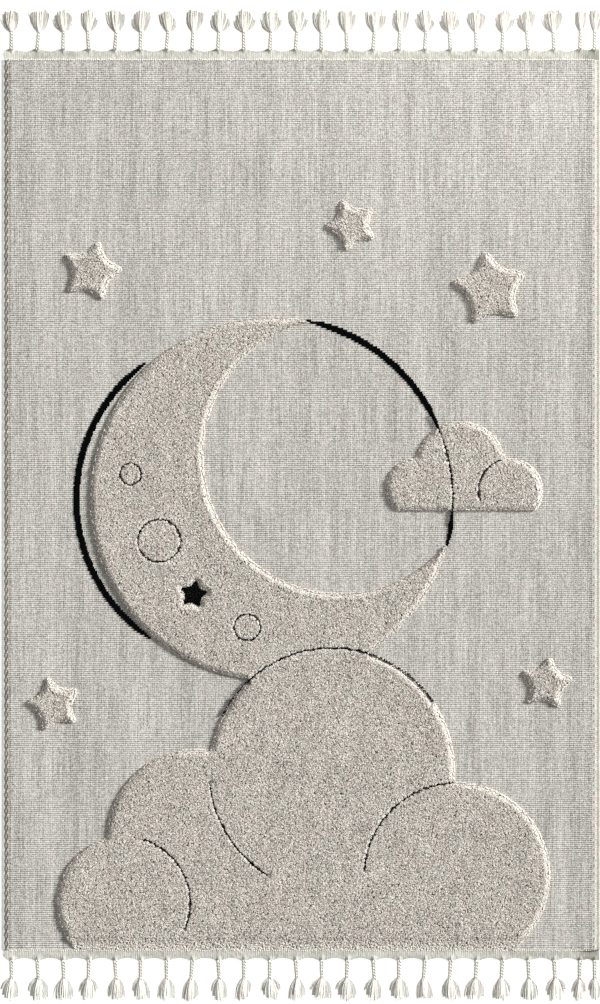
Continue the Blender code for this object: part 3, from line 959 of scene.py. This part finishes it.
# %% Places of the tassels
TASSELS = 24
TASSEL_PITCH = 0.0434
FIRST_TASSEL = 0.0145
CORNER_TASSEL = 0.0060
FRINGE_REACH = 0.5035
ROOT_STRIP = 0.0032
ROOT_SWELL = 0.0026
STEM_LENGTH = 0.0270
STEM_DRIFT = 0.0028
BUNDLE_LENGTH = 0.0400
BUNDLE_WIDTH = 0.0315
BUNDLE_SPREAD = (0.84, 1.10)
BUNDLE_ROOM = 0.80
BUNDLE_LEAN = 0.0030
LOCKS = 6
LOCK_GAP = 0.0011
SHORTER_OUTSIDE = 0.10
UNEVEN_ENDS = 0.13
HALF_RUG = 0.500
STRIP_Y = 0.7616


def tassel_plan(seed):
    """(root x, neck x, lean, flare, lock lengths) of each tassel, drawn as the solids were."""
    draw = random.Random(seed)
    middle = (LOCKS - 1) / 2
    lengths = []
    for _ in range(TASSELS):
        shorter = [SHORTER_OUTSIDE * ((k - middle) / middle) ** 2 for k in range(LOCKS)]
        lengths.append([1.0 - less - draw.uniform(0.0, UNEVEN_ENDS) for less in shorter])
    longest = max(max(row) for row in lengths)
    places = [-HALF_RUG + FIRST_TASSEL + k * TASSEL_PITCH for k in range(TASSELS - 1)]
    places.append(HALF_RUG - CORNER_TASSEL)
    plan = []
    for k, x in enumerate(places):
        room = min(abs(x - other) for other in places if other != x)
        flare = min(BUNDLE_WIDTH * draw.uniform(*BUNDLE_SPREAD), BUNDLE_ROOM * room)
        neck = x + draw.uniform(-STEM_DRIFT, STEM_DRIFT)
        lean = draw.uniform(-BUNDLE_LEAN, BUNDLE_LEAN)
        if k in (0, TASSELS - 1):
            neck = x
            lean = math.copysign(FRINGE_REACH + LOCK_GAP / 2 - flare / 2 - abs(x), x)
        plan.append((x, neck, lean, flare, [length / longest for length in lengths[k]]))
    return plan


plans = {"top": (1, tassel_plan(11)), "bottom": (-1, tassel_plan(23))}
print("tassels", {end: len(plan) for end, (side, plan) in plans.items()})
BRAID_START = STRIP_Y + ROOT_STRIP + ROOT_SWELL

# %% [markdown]
# ## The headings
# Past the last rib the warp is woven flat into a tape, which keeps the rug from unravelling. It is greenish
# cream and finely ribbed along the warp, so its ribs run the other way. The tape is a grid whose points
# rise and fall along the rug's width. It starts under the field's edge and thins towards the fringe, where
# its outer edge runs in concave arcs from one tassel's root to the next, and each root is a small mound with
# painted shade on it, most at the lower end. At the lower right corner the tape is pulled down and lies in
# shade as a dark wedge, deepened by painted shade, the upper right corner has painted shade too, and at
# the left both corners are paler and rounded.

# %% The headings' sizes
HEADING_RIB = 0.0036
POINTS_PER_RIB = 3
TAPE_ROWS = 6
EDGE_ROWS = 4
HEADING_RELIEF = 0.00022
RIB_WAVER = 0.8
HEADING_TUCK = 0.0006
HEADING_INNER = 0.0059
HEADING_OUTER = 0.0041
HEADING_OVERHANG = 0.0016
EDGE_LEAST = 0.0010
EDGE_MOST = 0.0072
EDGE_FALL = 0.12
EDGE_WAVER = 0.0004
TAPE_WAVER = 0.0003
LOWER_SHORTER = 0.0018
KNOT_HEIGHT = 0.0062
KNOT_HALF = 0.0066
# The part of a half turn of sine that its back follows
KNOT_BACK = (0.30, 0.90)
# How much painted shade a knot gets at the upper and at the lower end
KNOT_PAINTED_SHADE = 0.05
KNOT_PAINTED_SHADE_LOW = 0.42
CORNER_RADIUS = 0.0075
PULLED_FROM = 0.452
PULLED_DOWN = 0.0052
print("a tape reaches", round((STRIP_Y + EDGE_MOST - field_high.y) * 1000, 1), "mm past the field at most")

# %% The headings' finish
# From x, to x, how much lighter at the end of that run
PALE_LEFT = (-0.470, -0.496, 0.22)
# Painted shade on the pulled-down lower right corner
PULLED_PAINTED_SHADE = (PULLED_FROM, 0.482, -0.62)
# Painted shade at the upper right corner
TOP_CORNER_PAINTED_SHADE = (0.466, 0.497, -0.50)
# Painted light: the lower tape is painted lighter than the upper one, which the key light and lamp light more
LOWER_END_PAINTED_LIGHT = 0.13
HEADING_SHARE = 0.382

heading_finish, tree, shader, place = new_finish("heading yarn", roughness=0.9, sheen=0.15)
warp = grain(tree, place, (0.0021, 0.006, 0.01), detail=1.0, contrast=0.19)
stain = grain(tree, place, (0.05, 0.02, 0.05), detail=2.0, contrast=0.18)
pale, pulled_shade, top_corner_shade = [
    rescaled(tree, axis(tree, place, "X"), (start, end), (0.0, lighter))
    for start, end, lighter in (PALE_LEFT, PULLED_PAINTED_SHADE, TOP_CORNER_PAINTED_SHADE)
]
lower_end = reckon(tree, "LESS_THAN", axis(tree, place, "Y"), 0.0)
upper_end = total(tree, times(tree, lower_end, -1.0), 1.0)
# Paler left corners, painted shade at both right corners
corners = total(tree, pale, times(tree, pulled_shade, lower_end), times(tree, top_corner_shade, upper_end))
# Painted light on the lower end
ends = total(tree, times(tree, lower_end, LOWER_END_PAINTED_LIGHT), HEADING_SHARE)
heading_share = total(tree, warp, stain, corners, point_value(tree, "shade"), ends)
heading_colour = between(tree, heading_share, (0.265, 0.258, 0.215), (0.76, 0.75, 0.685))
painted(tree, shader, tinted(tree, place, heading_colour, amount=0.02), warp, distance=0.0004)
print("finish:", heading_finish.name)


# %% Heading tapes
def heading(end, node, side, plan):
    """The tape at one end: side is 1 at the top and -1 at the bottom."""
    low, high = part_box(node)
    half = (high.x - low.x + HEADING_OVERHANG) / 2
    inner_y = field_high.y - HEADING_TUCK
    roots = [row[0] for row in plan]
    shorter = 0.0 if side > 0 else LOWER_SHORTER
    most = EDGE_MOST + shorter
    bm = bmesh.new()
    shade = bm.verts.layers.float.new("shade")
    columns = round(2 * half / HEADING_RIB * POINTS_PER_RIB)
    bmesh.ops.create_grid(bm, x_segments=columns, y_segments=TAPE_ROWS + EDGE_ROWS, size=0.5)
    for point in bm.verts:
        x, row = point.co.x * 2 * half, (point.co.y * side + 0.5) * (TAPE_ROWS + EDGE_ROWS)
        tape, edge = min(1.0, row / TAPE_ROWS), max(0.0, row - TAPE_ROWS) / EDGE_ROWS
        away = min(abs(x - root) for root in roots)
        arc = max(0.0, 1.0 - away / (TASSEL_PITCH / 2)) ** 2
        knot = max(0.0, 1.0 - away / KNOT_HALF) ** 2 * max(0.0, tape * 4.0 - 3.0)
        # Painted shade on the knots, most at the lower end
        point[shade] = -(KNOT_PAINTED_SHADE if side > 0 else KNOT_PAINTED_SHADE_LOW) * math.sqrt(knot) * edge
        wave = math.cos(x / HEADING_RIB * math.tau + RIB_WAVER * noise.noise((x * 40.0, side, 0.0)))
        lift = HEADING_INNER + (HEADING_OUTER - HEADING_INNER) * tape + HEADING_RELIEF * wave
        lift *= 1.0 - EDGE_FALL * edge * edge
        back = math.sin(math.pi * (KNOT_BACK[0] + (KNOT_BACK[1] - KNOT_BACK[0]) * edge))
        lift += (KNOT_HEIGHT - HEADING_OUTER) * knot * back
        reach = EDGE_LEAST + (most - EDGE_LEAST) * arc + EDGE_WAVER * noise.noise((x * 150.0, side, 1.0))
        y = inner_y + (STRIP_Y - shorter - inner_y) * tape + reach * edge
        y += TAPE_WAVER * noise.noise((x * 25.0, side, 4.0))
        corner = max(0.0, 1.0 - (x + half) / CORNER_RADIUS)
        y -= CORNER_RADIUS * (1.0 - math.sqrt(1.0 - corner * corner)) * (tape + edge) / 2
        if side < 0 and x > PULLED_FROM:
            pull = ((x - PULLED_FROM) / (half - PULLED_FROM)) ** 0.8
            lift -= PULLED_DOWN * pull * (1.0 - tape) ** 0.6
        point.co = (x, side * y, lift)
    close_below(bm, 0.0)
    return fit(to_piece(bm, f"heading_{end}", heading_finish), "heading", node, f"fringe_{end}")


headings = [heading(end, f"end_band_{end}", side, plan) for end, (side, plan) in plans.items()]

# %% [markdown]
# ### The line of stitches
# A bright thread closes the seam between field and heading. Each stitch is one small spindle laid on its
# side and pressed flat.

# %% Seam stitches
STITCH = 0.0036
STITCH_OVERLAP = 1.6
STITCH_SLANT = 0.10
STITCH_ASIDE = 0.0002
STITCH_WIDTH = 0.0027
STITCH_WIDTHS = (0.85, 1.15)
STITCH_THICK = 0.0014
STITCH_TOP = 0.0061
STITCH_TOP_LOW = 0.0056
STITCH_OUT = 0.0006
STITCH_OUT_LOW = 0.0012
STITCH_PULLED = 0.0012

thread_finish, tree, shader, place = new_finish("seam thread", roughness=0.85, sheen=0.15)
thread_grain = grain(tree, place, (0.004, 0.002, 0.01), detail=1.0, contrast=0.25)
thread_colour = between(tree, total(tree, thread_grain, 0.6), (0.46, 0.44, 0.385), (0.86, 0.84, 0.775))
painted(tree, shader, thread_colour, thread_grain, distance=0.0003)


def stitch_rows(side):
    """A row for every stitch of one seam."""
    rows = []
    count = int((field_high.x - field_low.x) / STITCH)
    for k in range(count):
        x = field_low.x + (k + 0.5) * STITCH
        slant = chance.gauss(STITCH_SLANT, STITCH_SLANT)
        turned = Euler((0.0, math.pi / 2, slant)).to_matrix().to_euler()
        size = (STITCH_THICK, STITCH_WIDTH * chance.uniform(*STITCH_WIDTHS), STITCH * STITCH_OVERLAP)
        out, top = (STITCH_OUT, STITCH_TOP) if side > 0 else (STITCH_OUT_LOW, STITCH_TOP_LOW)
        y = side * (field_high.y + out) + chance.gauss(0.0, STITCH_ASIDE)
        if side < 0 and x > PULLED_FROM:
            top -= STITCH_PULLED * (x - PULLED_FROM) / (field_high.x - PULLED_FROM)
        foot = Vector((x - STITCH * STITCH_OVERLAP / 2, y, top))
        rows.append((foot, turned, size, 0.0, chance.randrange(TUFT_FORMS)))
    return rows


stitch_forms = form_group("stitch forms", [
    spindle(f"stitch_form_{k}", chance, 5, 0.5, 0.12) for k in range(TUFT_FORMS)
])
seams = scatter("seam_stitches", stitch_rows(1) + stitch_rows(-1), stitch_forms, thread_finish)
fit(seams, "heading", "end_band_top", "end_band_bottom")

# %% [markdown]
# ## The overcast sides
# Both selvedges are wrapped with thick yarn. The wraps are turns of a cord: a cylinder cut into rings,
# every second ring pushed out and all of them slanted. The pushed-in rings carry painted shade and the
# pushed-out ones a little painted light. Each side has two cords. On the left they are a pale one outside
# and a dark one inside, over which two strands cross like a chain. On the right they are a brown-grey one
# outside and a pale one inside with a cream thread along it. The inner cords are flat on top and lie over
# the ground's edge, so no gap shows.

# %% Yarns of the sides
# Darkest and lightest colour, size of the strands, contrast
SIDE_YARNS = {
    "outer overcast yarn": ((0.34, 0.33, 0.316), (0.64, 0.627, 0.603), (0.004, 0.004, 0.01), 0.18),
    "dark overcast yarn": ((0.19, 0.175, 0.153), (0.62, 0.59, 0.54), (0.004, 0.0016, 0.01), 0.32),
    "pale overcast yarn": ((0.40, 0.38, 0.34), (0.76, 0.73, 0.67), (0.004, 0.003, 0.01), 0.25),
    "brown-grey overcast yarn": ((0.24, 0.222, 0.19), (0.50, 0.47, 0.415), (0.004, 0.003, 0.01), 0.20),
    "dark chain yarn": ((0.110, 0.096, 0.086), (0.31, 0.28, 0.252), (0.0015, 0.006, 0.002), 0.30),
    "cream thread": ((0.34, 0.325, 0.285), (0.68, 0.66, 0.595), (0.0015, 0.004, 0.002), 0.30),
}


def yarn_finish(name, dark, light, size, contrast):
    """A yarn whose strands measure size = (x, y, z) in metres."""
    finish, tree, shader, place = new_finish(name, roughness=0.95, sheen=0.15)
    strands = grain(tree, place, size, detail=1.0, contrast=contrast)
    drift = grain(tree, place, (0.02, 0.03, 0.02), detail=2.0, contrast=0.10)
    colour = between(tree, total(tree, strands, drift, point_value(tree, "shade"), 0.5), dark, light)
    painted(tree, shader, tinted(tree, place, colour, amount=0.03), strands, distance=0.0002)
    return finish


side_yarns = {name: yarn_finish(name, *values) for name, values in SIDE_YARNS.items()}
print("finishes:", sorted(side_yarns))

# %% A wrapped cord
WRAP = 0.0034
RINGS_PER_WRAP = 2
CORD_SIDES = 8
WRAP_RELIEF = 0.10
# Painted shade in the grooves between wraps, painted light on their crests
WRAP_PAINTED_SHADE = 0.16
WRAP_SLANT = 0.0016
WRAP_UNEVEN = 0.06


def wrapped_cord(name, node, low_x, high_x, height, roundness, finish):
    """A cord along a side from low_x to high_x. Its profile is a box at roundness 0 and a cylinder at 1."""
    low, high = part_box(node)
    length, width = high.y - low.y, high_x - low_x
    rings = round(length / WRAP) * RINGS_PER_WRAP
    bm = bmesh.new()
    bmesh.ops.create_cone(bm, cap_ends=True, segments=CORD_SIDES, radius1=0.5, radius2=0.5, depth=length)
    long_edges = [edge for edge in bm.edges if edge.calc_length() > length / 2]
    bmesh.ops.subdivide_edges(bm, edges=long_edges, cuts=rings - 1)
    bmesh.ops.rotate(bm, verts=bm.verts[:], matrix=Matrix.Rotation(math.pi / 2, 3, "X"))
    shade = bm.verts.layers.float.new("shade")
    for point in bm.verts:
        ring = round((point.co.y + length / 2) / length * rings)
        out = 0.5 if ring % 2 else -0.5
        # Painted shade on pushed-in rings, painted light on pushed-out ones
        point[shade] = WRAP_PAINTED_SHADE * out
        swell = 1.0 + WRAP_RELIEF * out + WRAP_UNEVEN * noise.noise((0.0, ring * 0.45, low_x))
        if 0 < ring < rings:
            point.co.y += WRAP_SLANT * point.co.x * 2
        boxy_x, boxy_z = [math.copysign(0.5 * abs(2 * c) ** roundness, c) for c in (point.co.x, point.co.z)]
        point.co.x = boxy_x * width * swell
        point.co.z = max(-0.5, boxy_z * swell) * height + height / 2
    bmesh.ops.translate(bm, verts=bm.verts[:], vec=((low_x + high_x) / 2, 0.0, 0.0))
    return to_piece(bm, name, finish, smooth=roundness > 0.3)


# %% Overcast edges
# Side, slot, from x, to x, height, roundness, yarn
CORDS = {
    "outer_cord_left": ("left", "pale_binding", -0.5031, -0.4964, 0.0064, 0.18, "outer overcast yarn"),
    "overcast_left": ("left", "dark_binding", -0.4974, -0.4913, 0.0064, 0.40, "dark overcast yarn"),
    "overcast_right": ("right", "pale_binding", 0.4885, 0.4983, 0.0063, 0.25, "pale overcast yarn"),
    "outer_cord_right": ("right", "pale_binding", 0.4954, 0.5026, 0.0062, 0.50, "brown-grey overcast yarn"),
}

wraps = []
for name, (hand, slot, low_x, high_x, height, roundness, yarn) in CORDS.items():
    node = f"side_binding_{hand}"
    cord = wrapped_cord(name, node, low_x, high_x, height, roundness, side_yarns[yarn])
    wraps.append(fit(cord, slot, node))

# %% [markdown]
# ### Strands
# Anything that is a length of yarn is a spline with a round bevel: the points are its route, and each has
# its own thickness. The result is turned into a mesh at once.

# %% Tubes along routes
def strands_piece(name, routes, thickness, roundness, finish):
    """Tubes along routes of (place, share of the full thickness)."""
    curve = bpy.data.curves.new(name, "CURVE")
    curve.dimensions = "3D"
    curve.bevel_depth = thickness / 2
    curve.bevel_resolution = roundness
    curve.use_fill_caps = True
    for route in routes:
        spline = curve.splines.new("POLY")
        spline.points.add(len(route) - 1)
        for point, (spot, share) in zip(spline.points, route):
            point.co = (*spot, 1.0)
            point.radius = share
    drawn = bpy.data.objects.new("drawn strands", curve)
    bpy.context.scene.collection.objects.link(drawn)
    mesh = bpy.data.meshes.new_from_object(drawn.evaluated_get(bpy.context.evaluated_depsgraph_get()))
    bpy.data.objects.remove(drawn)
    return mesh_piece(mesh, name, finish)


# %% Strands along the sides
SIDE_STEP = 0.0020
SIDE_OVERHANG = 0.0004
SIDE_RISE = 0.0004
SIDE_WAVER = 0.7
SIDE_LUMPS = 0.15
CHAIN_THICK = 0.0021
# Middle x, height, sway, period
CHAIN = (-0.4942, 0.0062, 0.0022, 0.0275)
SCALLOP_THICK = 0.0050
SCALLOP = (0.4929, 0.0041, 0.0006, 0.0135)


def side_route(middle_x, height, sway, period, phase, swelling):
    """A strand along a side, with its sway and its swelling per period."""
    reach = field_high.y + SIDE_OVERHANG
    steps = round(2 * reach / SIDE_STEP)
    route = []
    for k in range(steps + 1):
        y = -reach + 2 * reach * k / steps
        turn = y / period * math.tau + phase + SIDE_WAVER * noise.noise((0.0, y * 22.0, middle_x))
        lumps = SIDE_LUMPS * noise.noise((5.0, y * 200.0, phase))
        thickness = 1.0 + swelling * math.sin(2.0 * turn) + lumps
        spot = Vector((middle_x + sway * math.sin(turn), y, height + SIDE_RISE * math.cos(turn)))
        route.append((spot, thickness))
    return route


crossing = [side_route(*CHAIN, phase, 0.05) for phase in (0.0, math.pi)]
chain = strands_piece("crossing_strands_left", crossing, CHAIN_THICK, 1, side_yarns["dark chain yarn"])
scalloped = [side_route(*SCALLOP, 0.0, 0.18)]
scallops = strands_piece("scalloped_thread_right", scalloped, SCALLOP_THICK, 1, side_yarns["cream thread"])
side_strands = [
    fit(chain, "dark_binding", "side_binding_left"),
    fit(scallops, "pale_binding", "side_binding_right"),
]

# %% [markdown]
# ## The fringe
# A tassel is a three-strand braid, 27 mm long, and then loose yarn that flares and ends unevenly.
#
# ### Braids
# In a flat three-strand braid each strand swings from side to side and dips under the others twice as
# often: a sine across, and a sine of double the frequency up and down, with the strands a third of a turn
# apart.

# %% Braids
BRAID_PERIOD = 0.0150
BRAID_SWAY = 0.0024
BRAID_TAPER = (1.12, 0.82)
BRAID_DIP = 0.0013
BRAID_STRAND = 0.0047
BRAID_HEIGHT = 0.0042
BRAID_POINTS = 24
BRAID_TIP = 0.6
TUCKED = 0.0030

tassel_finish = yarn_finish(
    "tassel yarn", (0.50, 0.48, 0.43), (0.95, 0.94, 0.885), (0.0011, 0.016, 0.0011), 0.26
)
# Painted shade: the braids are the tassels' yarn, painted darker for the shade the strands cast on one
# another
shaded_braid_finish = yarn_finish(
    "braid yarn with painted shade", (0.46, 0.445, 0.395), (0.84, 0.83, 0.77), (0.0016, 0.008, 0.0016), 0.24
)


def braid_routes(side, plan):
    """Three strands for every tassel of one end."""
    routes = []
    for root, neck, _, _, _ in plan:
        start = chance.uniform(0.0, math.tau)
        for strand in range(3):
            route = []
            for k in range(BRAID_POINTS + 1):
                share = k / BRAID_POINTS
                run = -TUCKED + (STEM_LENGTH + 2 * TUCKED) * share
                turn = start + run / BRAID_PERIOD * math.tau + strand * math.tau / 3
                sway = BRAID_SWAY * (BRAID_TAPER[0] + (BRAID_TAPER[1] - BRAID_TAPER[0]) * share)
                x = root + (neck - root) * share + sway * math.sin(turn)
                z = BRAID_HEIGHT + BRAID_DIP * math.sin(2.0 * turn)
                thickness = 1.0 if 0 < k < BRAID_POINTS else BRAID_TIP
                route.append((Vector((x, side * (BRAID_START + run), z)), thickness))
            routes.append(route)
    return routes


braids = []
for end, (side, plan) in plans.items():
    braid = strands_piece(f"braids_{end}", braid_routes(side, plan), BRAID_STRAND, 1, shaded_braid_finish)
    braids.append(fit(braid, "tassel_yarn", f"fringe_{end}"))

# %% [markdown]
# ### The bundles' cores
# Below the braid each tassel opens into some two hundred thin yarns. Only the outer ones can be seen. The
# inner ones are one closed core per tassel, a low ridge with its crest left of the middle: its left slope
# is steeper and lies in shade, as in the photograph. `bundle_place` says where a place of the bundle is,
# for the core and for the yarns on it.

# %% Cores of the bundles
# Share of the length from neck to end, share of the full width, share of the full height
OPENING = (
    (0.00, 0.15, 0.80),
    (0.09, 0.35, 0.96),
    (0.24, 0.62, 1.00),
    (0.46, 0.90, 0.90),
    (0.74, 1.00, 0.72),
    (1.00, 1.01, 0.48),
)
BUNDLE_HEIGHT = 0.0062
RIDGE = 1.35
CREST = -0.28
BUNDLE_FOOT = 0.0012
NECK_OVERLAP = 0.0008
CORE_LENGTH = 0.94
CORE_WIDTH = 0.90
CORE_SHARE = 0.80
CORE_COLUMNS = 8
CORE_FOOT = 0.0002


def bundle_place(side, neck, lean, flare, length, across, row):
    """A place on the bundle's surface: across from -1 to 1, at a row of OPENING."""
    along, opening, thickness = OPENING[row]
    x = neck + lean * along + flare / 2 * opening * across
    y = side * (BRAID_START + STEM_LENGTH - NECK_OVERLAP + length * along)
    slope = (across - CREST) / (1.0 - math.copysign(CREST, across - CREST))
    z = BUNDLE_FOOT + BUNDLE_HEIGHT * thickness * max(0.0, 1.0 - abs(slope) ** RIDGE)
    return Vector((x, y, z))


def bundle_cores(end, side, plan):
    """The cores of one end's bundles, as one piece."""
    bm = bmesh.new()
    for _, neck, lean, flare, lengths in plan:
        length = BUNDLE_LENGTH * min(lengths) * CORE_LENGTH
        steps = len(OPENING) - 1
        for point in bmesh.ops.create_grid(bm, x_segments=CORE_COLUMNS, y_segments=steps, size=0.5)["verts"]:
            row = round((point.co.y + 0.5) * steps)
            spot = bundle_place(side, neck, lean, flare * CORE_WIDTH, length, point.co.x * 2, row)
            point.co = (spot.x, spot.y, spot.z * CORE_SHARE)
    close_below(bm, CORE_FOOT)
    return fit(to_piece(bm, f"tassel_cores_{end}", tassel_finish), "tassel_yarn", f"fringe_{end}")


cores = [bundle_cores(end, side, plan) for end, (side, plan) in plans.items()]

# %% [markdown]
# ### Loose yarn
# The outer yarns lie on the core. Their ends are uneven, lock by lock and yarn by yarn. At some tassels a
# side lock is shorter and sweeps outwards, and a few single yarns go astray.

# %% Loose yarn
YARNS = 60
YARN_THICK = 0.00170
YARN_TAPER = 0.40
YARN_LOW = 0.75
YARN_DEPTHS = (0.0, 0.0016)
YARN_UNEVEN = 0.025
CURL = 0.0005
# Painted shade: the upper bundles are painted darker, since the key light and the lamp fall more on them
BUNDLE_PAINTED_SHADES = {"top": -0.27, "bottom": 0.04}
ASTRAY = 0.06
ASTRAY_OUT = 0.0028
SIDE_LOCK = 0.64
SWEPT_LEFT = 0.55
SWEPT_RIGHT = 0.20
SWEPT_LENGTH = (0.58, 0.70)
SWEPT_OUT = 0.0020


def yarn_route(side, neck, lean, flare, lengths, swept):
    """One loose yarn: swept says if the left and the right side lock sweep outwards."""
    across = chance.uniform(-1.0, 1.0)
    lock = min(LOCKS - 1, int((across + 1.0) / 2 * LOCKS))
    length = BUNDLE_LENGTH * (lengths[lock] + chance.gauss(0.0, YARN_UNEVEN))
    sideways = chance.gauss(0.0, ASTRAY_OUT) if chance.random() < ASTRAY else 0.0
    if abs(across) > SIDE_LOCK and swept[across > 0]:
        length *= chance.uniform(*SWEPT_LENGTH)
        sideways = math.copysign(SWEPT_OUT, across)
    curl, phase = chance.gauss(0.0, CURL), chance.uniform(0.0, math.tau)
    depth = chance.uniform(*YARN_DEPTHS)
    route = []
    for row, (along, _, _) in enumerate(OPENING):
        spot = bundle_place(side, neck, lean, flare, length, across, row)
        spot.x += sideways * along**2 + curl * math.sin(phase + 5.0 * along)
        spot.z = max(YARN_THICK * YARN_LOW, spot.z - depth)
        route.append((spot, 1.0 - YARN_TAPER * along**3))
    return route


bundles = []
for end, (side, plan) in plans.items():
    routes = []
    for _, neck, lean, flare, lengths in plan:
        swept = (chance.random() < SWEPT_LEFT, chance.random() < SWEPT_RIGHT)
        routes += [yarn_route(side, neck, lean, flare, lengths, swept) for _ in range(YARNS)]
    bundle = strands_piece(f"tassel_yarns_{end}", routes, YARN_THICK, 0, tassel_finish)
    # Each end's bundles carry their painted shade
    shades = bundle.data.attributes.new("shade", "FLOAT", "POINT")
    shades.data.foreach_set("value", [BUNDLE_PAINTED_SHADES[end]] * len(bundle.data.vertices))
    bundles.append(fit(bundle, "tassel_yarn", f"fringe_{end}"))

# %% [markdown]
# ## The cloth's pieces
# All of it is one sheet of cloth that lies on the floor: the ground is the woven sheet, and the list below
# gathers every other piece, which belongs to it.

# %% The sheet's pieces
sheet_pieces = [pile_base, *pile_pieces, black_arcs, black_tufts, *headings, seams, *wraps, *side_strands]
sheet_pieces += [*braids, *cores, *bundles]
